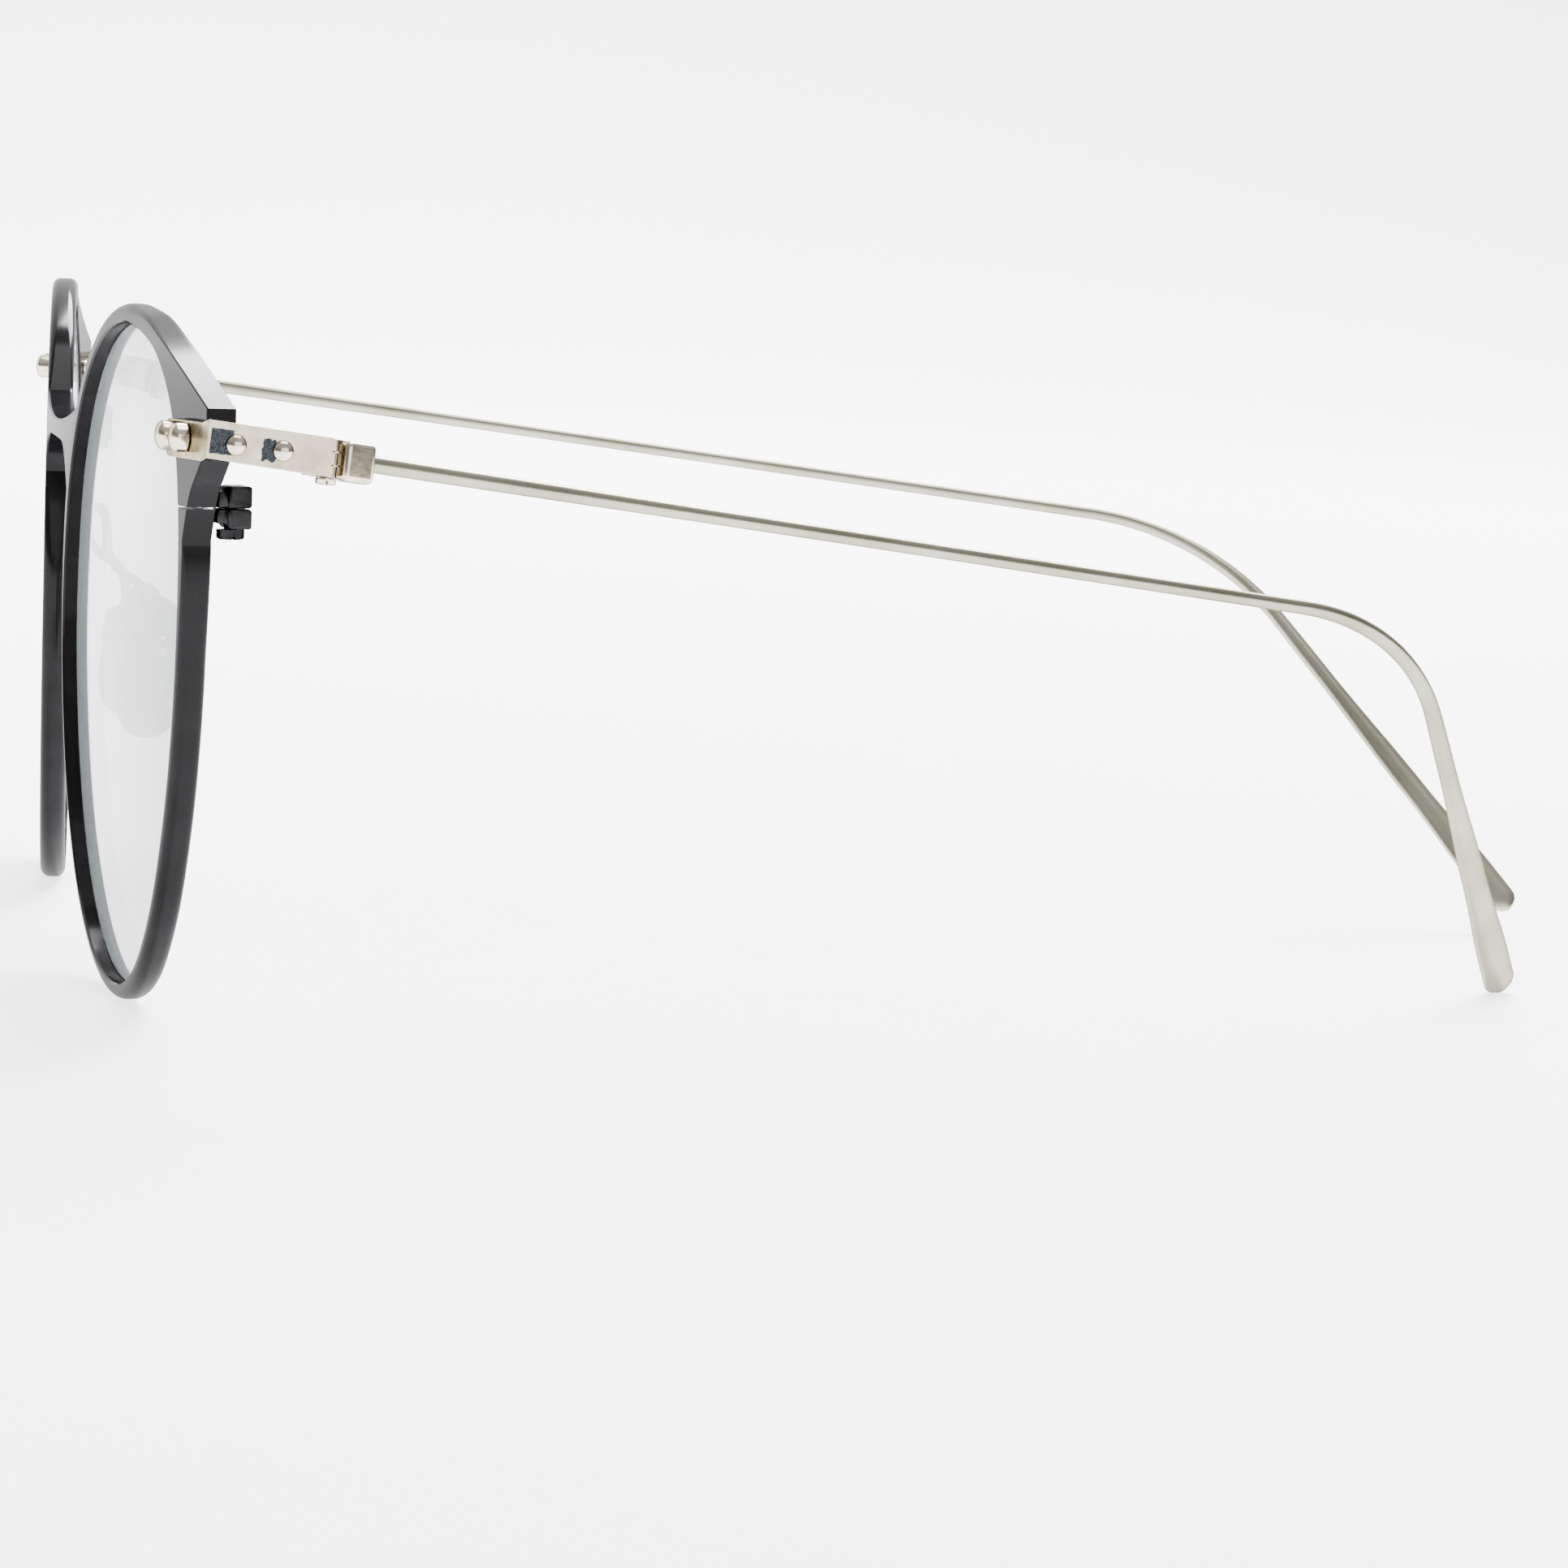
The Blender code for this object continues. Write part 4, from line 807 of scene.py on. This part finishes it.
def add_hinge(side, name, nickel):
    """The leaf inside the endpiece with its two knuckles, and the screw through them."""
    hinge = hinge_matrix(side)
    inner = LEAF_OUTER - LEAF_THICKNESS
    low = (inner, -LEAF_LENGTH, -LEAF_HALF_HEIGHT)
    shape = box_shape(low, (LEAF_OUTER, LEAF_END, LEAF_HALF_HEIGHT))
    leaf = make_object(f"hinge_leaf_{name}_skin", shape, hinge, side)
    add_bevel(leaf, LEAF_BEVEL)
    clear = KNUCKLE_HALF_HEIGHT + GAP
    for sign in (1, -1):
        low_z, high_z = sorted((sign * clear, sign * HINGE_HALF_HEIGHT))
        web = box_shape((*LEAF_WEB[0], low_z), (*LEAF_WEB[1], high_z))
        apply_tool(leaf, web, hinge, side, "UNION")
        apply_tool(leaf, cylinder_shape(KNUCKLE_RADIUS, low_z, high_z), hinge, side, "UNION")
    relief = cylinder_shape(KNUCKLE_RADIUS + GAP, -clear, clear)
    apply_tool(leaf, relief, hinge, side, "DIFFERENCE")
    bore = cylinder_shape(BORE_RADIUS, -THROUGH, THROUGH)
    apply_tool(leaf, bore, hinge, side, "DIFFERENCE")
    complete(leaf, f"hinge_leaf_{name}", "front", nickel)
    under = -HINGE_HALF_HEIGHT - GAP / 2
    bottom = under - HINGE_SCREW_HEAD_HEIGHT
    head = HINGE_SCREW_HEAD_RADIUS
    profile = (
        (0, HINGE_HALF_HEIGHT), (HINGE_PIN_RADIUS, HINGE_HALF_HEIGHT), (HINGE_PIN_RADIUS, under),
        (head, under), (head, bottom + 0.12 * MM), (0.93 * head, bottom + 0.04 * MM),
        (0.8 * head, bottom), (0, bottom),
    )
    screw = make_object(f"hinge_screw_{name}_skin", turned_shape(profile), hinge, side)
    slot = box_shape(
        (-2 * head, -HINGE_SLOT_HALF_WIDTH, bottom - GAP),
        (2 * head, HINGE_SLOT_HALF_WIDTH, bottom + HINGE_SLOT_DEPTH),
    )
    apply_tool(screw, slot, hinge, side, "DIFFERENCE")
    complete(screw, f"hinge_screw_{name}", "front", nickel)


# ---- temples

def add_temple_block(side, name, nickel):
    """The block at the temple's end, with the knuckle that turns between the leaf's two."""
    temple = temple_matrix(side)
    end = GAP / 2 + TEMPLE_BLOCK_LENGTH
    low = (TEMPLE_BLOCK_INNER, GAP / 2, TEMPLE_BLOCK_BOTTOM)
    shape = box_shape(low, (PLATE_OUTER, end, TEMPLE_BLOCK_TOP))
    block = make_object(f"temple_block_{name}_skin", shape, temple, side)
    add_bevel(block, TEMPLE_BLOCK_ROUND, 4)
    relief = cylinder_shape(KNUCKLE_RADIUS + GAP, -THROUGH, THROUGH)
    apply_tool(block, relief, temple, side, "DIFFERENCE")
    tall = KNUCKLE_HALF_HEIGHT
    web = box_shape((*TEMPLE_WEB_FROM, -tall), (TEMPLE_WEB_SIDE, end - TEMPLE_WEB_END, tall))
    apply_tool(block, web, temple, side, "UNION")
    apply_tool(block, cylinder_shape(KNUCKLE_RADIUS, -tall, tall), temple, side, "UNION")
    bore = cylinder_shape(BORE_RADIUS, -THROUGH, THROUGH)
    apply_tool(block, bore, temple, side, "DIFFERENCE")
    complete(block, f"temple_block_{name}", f"temple_{name}", nickel)


def wire_path():
    """Points, directions and bend-plane normals along the temple wire."""
    inward = math.sin(WIRE_DROP_INWARD)
    down = Vector((-inward, 0, -math.cos(WIRE_DROP_INWARD)))
    start = Vector((WIRE_OFFSET, TEMPLE_BLOCK_LENGTH - SOCKET_DEPTH + GAP, 0))
    knee = Vector((WIRE_OFFSET, WIRE_STRAIGHT, 0))
    ahead = Vector((0, 1, 0))
    path = []
    for step in range(WIRE_STEPS):
        path.append((start.lerp(knee, step / WIRE_STEPS), ahead, down))
    for step in range(BEND_STEPS + 1):
        angle = WIRE_BEND_ANGLE * step / BEND_STEPS
        along = WIRE_BEND_RADIUS * math.sin(angle)
        below = WIRE_BEND_RADIUS * (1 - math.cos(angle))
        direction = ahead * math.cos(angle) + down * math.sin(angle)
        normal = down * math.cos(angle) - ahead * math.sin(angle)
        path.append((knee + ahead * along + down * below, direction, normal))
    foot, direction, normal = path[-1]
    for step in range(1, WIRE_STEPS):
        share = 1 - (1 - step / WIRE_STEPS) ** 1.4
        path.append((foot + direction * WIRE_DROP * share, direction, normal))
    for share in TIP_SHARES:
        path.append((foot + direction * WIRE_DROP * share, direction, normal))
    return path


def wire_size(share):
    """The wire's height and width at a share of its length."""
    for (low, high_a, wide_a), (high, high_b, wide_b) in zip(WIRE_SIZES, WIRE_SIZES[1:]):
        if share <= high:
            t = (share - low) / (high - low)
            t = t * t * (3 - 2 * t)
            return (high_a + (high_b - high_a) * t) * MM, (wide_a + (wide_b - wide_a) * t) * MM
    return WIRE_SIZES[-1][1] * MM, WIRE_SIZES[-1][2] * MM


def wire_shape():
    path = wire_path()
    lengths = [0.0]
    for (here, _, _), (there, _, _) in zip(path, path[1:]):
        lengths.append(lengths[-1] + (there - here).length)
    total = lengths[-1]
    sections = []
    for (point, direction, normal), length in zip(path, lengths):
        height, width = wire_size(length / total)
        left = total - length
        if left < TIP_ROUND:
            shrink = math.sqrt(max(0.02, 1 - ((TIP_ROUND - left) / TIP_ROUND) ** 2))
            height *= shrink
            width *= TIP_END_WIDTH + (1 - TIP_END_WIDTH) * shrink
        across = direction.cross(normal)
        section = []
        for i in range(WIRE_SIDES):
            angle = 2 * math.pi * (i + 0.5) / WIRE_SIDES
            offset = normal * math.cos(angle) * height / 2 + across * math.sin(angle) * width / 2
            section.append(point + offset)
        sections.append(section)
    return lofted_shape(sections)


def add_wire(side, name, satin):
    piece = make_object(f"temple_wire_{name}_skin", wire_shape(), temple_matrix(side), side)
    complete(piece, f"temple_wire_{name}", f"temple_{name}", satin, 60)


# ---- nose pads

def pad_arm_shape():
    line = smooth_curve([Vector(p) * MM for p in PAD_ARM_PATH], False, 10)
    sections = []
    for i, point in enumerate(line):
        run = (line[min(i + 1, len(line) - 1)] - line[max(i - 1, 0)]).normalized()
        across = run.cross(Vector((1, 0, 0))).normalized()
        out = across.cross(run)
        section = []
        for k in range(PAD_ARM_SIDES):
            angle = 2 * math.pi * k / PAD_ARM_SIDES
            section.append(point + PAD_ARM_RADIUS * (out * math.cos(angle) + across * math.sin(angle)))
        sections.append(section)
    return lofted_shape(sections)


def pad_shape():
    """A D-shaped pad with soft edges: its outline shrinks towards both of its faces."""
    sections = []
    for step in range(PAD_LAYERS + 1):
        level = -math.cos(math.pi * step / PAD_LAYERS)
        swell = math.sqrt(max(0.0, 1 - abs(level) ** 2.6))
        size = PAD_FACE_SIZE + (1 - PAD_FACE_SIZE) * swell
        x = -PAD_STANDOFF - PAD_THICKNESS / 2 + level * PAD_THICKNESS / 2
        section = []
        for i in range(PAD_SIDES):
            angle = 2 * math.pi * i / PAD_SIDES
            width = PAD_HALF_WIDTH * (1 - PAD_TOP_NARROWING * math.sin(angle))
            y = width * size * math.copysign(abs(math.cos(angle)) ** 0.85, math.cos(angle))
            z = PAD_HALF_HEIGHT * size * math.sin(angle) - PAD_DROP
            section.append(Vector((x, y, z)))
        sections.append(section)
    return lofted_shape(sections)


def add_nose_pad(side, name, arm_metal, nickel, silicone):
    """The arm behind the rim, its box and screw, and the pad that rocks in the box."""
    arm = make_object(f"nose_pad_arm_{name}_skin", pad_arm_shape(), Matrix(), side)
    complete(arm, f"nose_pad_arm_{name}", "front", arm_metal)
    mount = pad_matrix(side)
    half = PAD_BOX_SIZE / 2
    box = make_object(f"nose_pad_box_{name}_skin", box_shape(-half, half), mount, side)
    add_bevel(box, PAD_BOX_ROUND, 4)
    slot_half = PAD_SLOT_WIDTH / 2
    slot = box_shape((-2 * half.x, -slot_half, -2 * half.z), (PAD_SLOT_END, slot_half, 2 * half.z))
    apply_tool(box, slot, mount, side, "DIFFERENCE")
    complete(box, f"nose_pad_box_{name}", "front", arm_metal)
    along = Matrix.Rotation(-math.pi / 2, 4, "X")
    head_radius, head_height = PAD_SCREW_HEAD
    under = half.y + GAP / 2
    top = under + head_height
    profile = (
        (0, -half.y), (PAD_SCREW_RADIUS, -half.y), (PAD_SCREW_RADIUS, under), (head_radius, under),
        (head_radius, top - 0.3 * MM), (0.93 * head_radius, top - 0.12 * MM),
        (0.72 * head_radius, top), (0, top),
    )
    screw = make_object(f"nose_pad_screw_{name}_skin", turned_shape(profile, along), mount, side)
    slot = box_shape(
        (-2 * MM, under + 0.6 * head_height, -PAD_SCREW_SLOT_HALF_WIDTH),
        (2 * MM, top + MM, PAD_SCREW_SLOT_HALF_WIDTH),
    )
    apply_tool(screw, slot, mount, side, "DIFFERENCE")
    complete(screw, f"nose_pad_screw_{name}", "front", nickel)
    pad = make_object(f"nose_pad_{name}_skin", pad_shape(), mount, side)
    tang_half = slot_half - GAP
    tang = box_shape(
        (-PAD_STANDOFF - PAD_TANG_SEAT, -tang_half, PAD_TANG_BOTTOM),
        (PAD_TANG_END, tang_half, PAD_TANG_TOP),
    )
    apply_tool(pad, tang, mount, side, "UNION")
    complete(pad, f"nose_pad_{name}", f"nose_pad_{name}", silicone, 50)


# ---- materials

def grain(nodes, links, coordinates, scale, stretch, turn, detail=4.0):
    """A noise pattern by object coordinates, drawn out by stretch along turned axes."""
    mapping = nodes.new("ShaderNodeMapping")
    mapping.vector_type = "TEXTURE"
    mapping.inputs["Scale"].default_value = stretch
    mapping.inputs["Rotation"].default_value = turn
    noise = nodes.new("ShaderNodeTexNoise")
    noise.inputs["Scale"].default_value = scale
    noise.inputs["Detail"].default_value = detail
    links.new(coordinates, mapping.inputs["Vector"])
    links.new(mapping.outputs["Vector"], noise.inputs["Vector"])
    return noise.outputs["Fac"]


def make_material(
    name, colours, metallic, roughness, patch, fine, stretch, bump, turn=(0, 0, 0), **shader_values
):
    """A surface whose colour drifts in patches and whose roughness and relief follow a fine grain."""
    material = bpy.data.materials.new(name)
    material.use_nodes = True
    nodes = material.node_tree.nodes
    links = material.node_tree.links
    shader = nodes["Principled BSDF"]
    coordinates = nodes.new("ShaderNodeTexCoord").outputs["Object"]
    drift = grain(nodes, links, coordinates, patch, (1, 1, 1), (0, 0, 0), 2.0)
    ramp = nodes.new("ShaderNodeValToRGB")
    ramp.name = "colour"
    ramp.color_ramp.elements[0].position = 0.35
    ramp.color_ramp.elements[1].position = 0.65
    ramp.color_ramp.elements[0].color = (*colours[0], 1)
    ramp.color_ramp.elements[1].color = (*colours[1], 1)
    links.new(drift, ramp.inputs["Fac"])
    links.new(ramp.outputs["Color"], shader.inputs["Base Color"])
    fine_grain = grain(nodes, links, coordinates, fine, stretch, turn)
    spread = nodes.new("ShaderNodeMapRange")
    spread.inputs["To Min"].default_value = roughness[0]
    spread.inputs["To Max"].default_value = roughness[1]
    links.new(fine_grain, spread.inputs["Value"])
    links.new(spread.outputs["Result"], shader.inputs["Roughness"])
    links.new(spread.outputs["Result"], shader.inputs["Coat Roughness"])
    relief = nodes.new("ShaderNodeBump")
    relief.inputs["Strength"].default_value = bump
    relief.inputs["Distance"].default_value = 0.01 * MM
    links.new(fine_grain, relief.inputs["Height"])
    links.new(relief.outputs["Normal"], shader.inputs["Normal"])
    links.new(relief.outputs["Normal"], shader.inputs["Coat Normal"])
    shader.inputs["Metallic"].default_value = metallic
    for socket, value in shader_values.items():
        shader.inputs[socket.replace("_", " ")].default_value = value
    return material


def reflection_spot_mask(nodes, links, coordinates, place_matrix, size, ragged):
    """One inside a box with ragged sides and nought outside it, by object coordinates; it places a spot
    of painted reflection.
    """
    noise = nodes.new("ShaderNodeTexNoise")
    noise.inputs["Scale"].default_value = 2600
    noise.inputs["Detail"].default_value = 3.0
    links.new(coordinates, noise.inputs["Vector"])
    shake = nodes.new("ShaderNodeVectorMath")
    shake.operation = "MULTIPLY_ADD"
    shake.inputs[1].default_value = (ragged, ragged, ragged)
    links.new(noise.outputs["Color"], shake.inputs[0])
    links.new(coordinates, shake.inputs[2])
    place = nodes.new("ShaderNodeMapping")
    place.vector_type = "TEXTURE"
    place.inputs["Location"].default_value = [c + ragged / 2 for c in place_matrix.translation]
    place.inputs["Rotation"].default_value = place_matrix.to_euler()
    place.inputs["Scale"].default_value = size
    links.new(shake.outputs["Vector"], place.inputs["Vector"])
    reach = nodes.new("ShaderNodeVectorMath")
    reach.operation = "ABSOLUTE"
    links.new(place.outputs["Vector"], reach.inputs[0])
    split = nodes.new("ShaderNodeSeparateXYZ")
    links.new(reach.outputs["Vector"], split.inputs["Vector"])
    across = nodes.new("ShaderNodeMath")
    across.operation = "MAXIMUM"
    links.new(split.outputs["Y"], across.inputs[0])
    links.new(split.outputs["Z"], across.inputs[1])
    edge = nodes.new("ShaderNodeMapRange")
    edge.inputs["From Min"].default_value = 1.04
    edge.inputs["From Max"].default_value = 0.96
    links.new(across.outputs["Value"], edge.inputs["Value"])
    return edge.outputs["Result"]


def make_plated(name, side):
    """Polished nickel with two dark blue-grey spots of painted reflection on the endpiece's outer face,
    standing in for dark surroundings mirrored in the plate.
    """
    material = make_nickel(name)
    nodes = material.node_tree.nodes
    links = material.node_tree.links
    coordinates = next(n for n in nodes if n.type == "TEX_COORD").outputs["Object"]
    masks = []
    for back, height, size, ragged in PAINTED_REFLECTION_SPOTS:
        at_spot = Matrix.Translation((side * PLATE_OUTER, back, height))
        place = DATUM @ hinge_matrix(side) @ at_spot
        masks.append(reflection_spot_mask(nodes, links, coordinates, place, size, ragged))
    both = nodes.new("ShaderNodeMath")
    both.operation = "MAXIMUM"
    links.new(masks[0], both.inputs[0])
    links.new(masks[1], both.inputs[1])
    speckle = nodes.new("ShaderNodeTexNoise")
    speckle.inputs["Scale"].default_value = 14000
    links.new(coordinates, speckle.inputs["Vector"])
    # Painted reflection: the dark blue-grey colour of the spots, in place of the dark surroundings that
    # the plate mirrors.
    painted_reflection_colour = nodes.new("ShaderNodeValToRGB")
    painted_reflection_colour.color_ramp.elements[0].position = 0.4
    painted_reflection_colour.color_ramp.elements[1].position = 0.75
    painted_reflection_colour.color_ramp.elements[0].color = (0.010, 0.0125, 0.016, 1)
    painted_reflection_colour.color_ramp.elements[1].color = (0.085, 0.095, 0.108, 1)
    links.new(speckle.outputs["Fac"], painted_reflection_colour.inputs["Fac"])
    blend = nodes.new("ShaderNodeMix")
    blend.data_type = "RGBA"
    links.new(both.outputs["Value"], blend.inputs["Factor"])
    links.new(nodes["colour"].outputs["Color"], blend.inputs["A"])
    links.new(painted_reflection_colour.outputs["Color"], blend.inputs["B"])
    links.new(blend.outputs["Result"], nodes["Principled BSDF"].inputs["Base Color"])
    return material


def make_nickel(name):
    return make_material(
        name, ((0.50, 0.445, 0.335), (0.68, 0.615, 0.48)), 1.0, (0.12, 0.24),
        700, 5000, (1, 6, 1), 0.12, Specular_Tint=(0.12, 0.12, 0.12, 1.0),
    )


def make_satin(name, side, edge):
    """Brushed metal, its grain along a temple's straight stretch."""
    along = (DATUM @ temple_matrix(side)).to_euler()
    return make_material(
        name, ((0.25, 0.24, 0.18), (0.34, 0.325, 0.25)), 1.0, (0.24, 0.36),
        120, 6000, (1, 30, 1), 0.25, along, Specular_Tint=edge,
    )


def make_materials():
    even = (1, 1, 1)
    edge = (0.22, 0.22, 0.21, 1.0)
    return {
        "black": make_material(
            "black_lacquer", ((0.0028, 0.0026, 0.003), (0.0052, 0.0048, 0.0055)), 0.0, (0.09, 0.17),
            260, 9000, even, 0.1, Specular_IOR_Level=0.0, Coat_Weight=0.2,
            Coat_Tint=(0.97, 0.96, 1.0, 1.0),
        ),
        "dark": make_material(
            "blackened_steel", ((0.008, 0.008, 0.0085), (0.02, 0.02, 0.021)), 1.0, (0.25, 0.4),
            700, 4000, even, 0.2, Specular_Tint=(0.25, 0.25, 0.25, 1.0),
        ),
        "nickel": make_nickel("polished_nickel"),
        "plated_left": make_plated("plated_nickel_left", LEFT),
        "plated_right": make_plated("plated_nickel_right", RIGHT),
        "satin_left": make_satin("satin_metal_left", LEFT, edge),
        "satin_right": make_satin("satin_metal_right", RIGHT, edge),
        "arm": make_material(
            "pad_arm_metal", ((0.07, 0.075, 0.072), (0.13, 0.135, 0.13)), 1.0, (0.22, 0.34),
            600, 5000, even, 0.15, Specular_Tint=edge,
        ),
        "lens": make_material(
            "clear_lens", ((0.26, 0.295, 0.30), (0.31, 0.345, 0.35)), 0.0, (0.03, 0.05),
            40, 300, even, 0.0, Alpha=0.6, IOR=1.5,
        ),
        "silicone": make_material(
            "clear_silicone", ((0.06, 0.066, 0.06), (0.10, 0.105, 0.095)), 0.0, (0.2, 0.3),
            300, 2500, even, 0.2, Alpha=0.66, IOR=1.41,
        ),
    }


# ---- stage, light and camera

def add_backdrop():
    """One white sheet: a floor that curves up into a wall far behind the pair."""
    shape = bmesh.new()
    profile = [(FLOOR_NEAR, 0.0), (FLOOR_FAR, 0.0)]
    for step in range(1, 13):
        angle = math.radians(7.5 * step)
        across = FLOOR_FAR - FLOOR_CURVE * math.sin(angle)
        profile.append((across, FLOOR_CURVE * (1 - math.cos(angle))))
    profile.append((FLOOR_FAR - FLOOR_CURVE, WALL_TOP))
    sides = (-BACKDROP_HALF_WIDTH, BACKDROP_HALF_WIDTH)
    rows = [[shape.verts.new((x, y, z)) for y in sides] for x, z in profile]
    for here, there in zip(rows, rows[1:]):
        shape.faces.new((here[0], here[1], there[1], there[0]))
    mesh = bpy.data.meshes.new("backdrop")
    shape.to_mesh(mesh)
    shape.free()
    mesh.shade_smooth()
    backdrop = bpy.data.objects.new("backdrop", mesh)
    bpy.context.scene.collection.objects.link(backdrop)
    backdrop.location.z = -FLOOR_DROP
    mesh.materials.append(make_material(
        "backdrop_white", ((0.55, 0.55, 0.55), (0.56, 0.56, 0.56)), 0.0, (0.8, 0.9),
        4, 60, (1, 1, 1), 0.0, Emission_Color=(1.0, 1.0, 1.0, 1.0), Emission_Strength=2.8,
    ))


def add_light(name, size, radiance, place, target, colour):
    data = bpy.data.lights.new(name, "AREA")
    data.shape = "RECTANGLE"
    data.size, data.size_y = size
    data.energy = radiance * math.pi * size[0] * size[1]
    data.color = colour
    light = bpy.data.objects.new(name, data)
    bpy.context.scene.collection.objects.link(light)
    light.location = place
    light.rotation_euler = (Vector(target) - Vector(place)).to_track_quat("-Z", "Y").to_euler()


def add_lighting():
    """A soft sky, dimmer below the horizon, and one box overhead, one behind and one by the camera."""
    world = bpy.data.worlds.new("studio")
    bpy.context.scene.world = world
    world.use_nodes = True
    nodes = world.node_tree.nodes
    links = world.node_tree.links
    direction = nodes.new("ShaderNodeTexCoord").outputs["Generated"]
    split = nodes.new("ShaderNodeSeparateXYZ")
    links.new(direction, split.inputs["Vector"])
    ramp = nodes.new("ShaderNodeValToRGB")
    ramp.color_ramp.elements[0].position = 0.0
    ramp.color_ramp.elements[1].position = 0.6
    ramp.color_ramp.elements[0].color = (0.05, 0.05, 0.052, 1)
    ramp.color_ramp.elements[1].color = (0.7, 0.7, 0.73, 1)
    links.new(split.outputs["Z"], ramp.inputs["Fac"])
    links.new(ramp.outputs["Color"], nodes["Background"].inputs["Color"])
    nodes["Background"].inputs["Strength"].default_value = 1.0
    for light in LIGHTS:
        add_light(*light)


def add_camera():
    """The view from the wearer's left, slightly from the front and above, with a long lens."""
    data = bpy.data.cameras.new("camera")
    data.sensor_width = CAMERA_SENSOR
    data.lens = CAMERA_LENS
    camera = bpy.data.objects.new("camera", data)
    bpy.context.scene.collection.objects.link(camera)
    level = math.cos(CAMERA_PITCH)
    ahead = Vector((
        -math.cos(CAMERA_YAW) * level, math.sin(CAMERA_YAW) * level, -math.sin(CAMERA_PITCH),
    ))
    right = Vector((math.sin(CAMERA_YAW), math.cos(CAMERA_YAW), 0))
    up = right.cross(ahead)
    turn = Matrix((right, up, -ahead)).transposed().to_4x4()
    turn = turn @ Matrix.Rotation(CAMERA_ROLL, 4, "Z")
    camera.matrix_world = DATUM @ Matrix.Translation(CAMERA_PLACE) @ turn
    bpy.context.scene.camera = camera


materials = make_materials()
add_front(materials["black"])
for side, name in SIDES:
    add_lens(side, name, materials["lens"])
    add_closing_block(side, name, materials["dark"])
    add_endpiece(side, name, materials["plated_" + name])
    add_rivets(side, name, materials["nickel"])
    add_hinge(side, name, materials["nickel"])
    add_temple_block(side, name, materials["nickel"])
    add_wire(side, name, materials["satin_" + name])
    add_nose_pad(side, name, materials["arm"], materials["nickel"], materials["silicone"])
add_backdrop()
add_lighting()
add_camera()
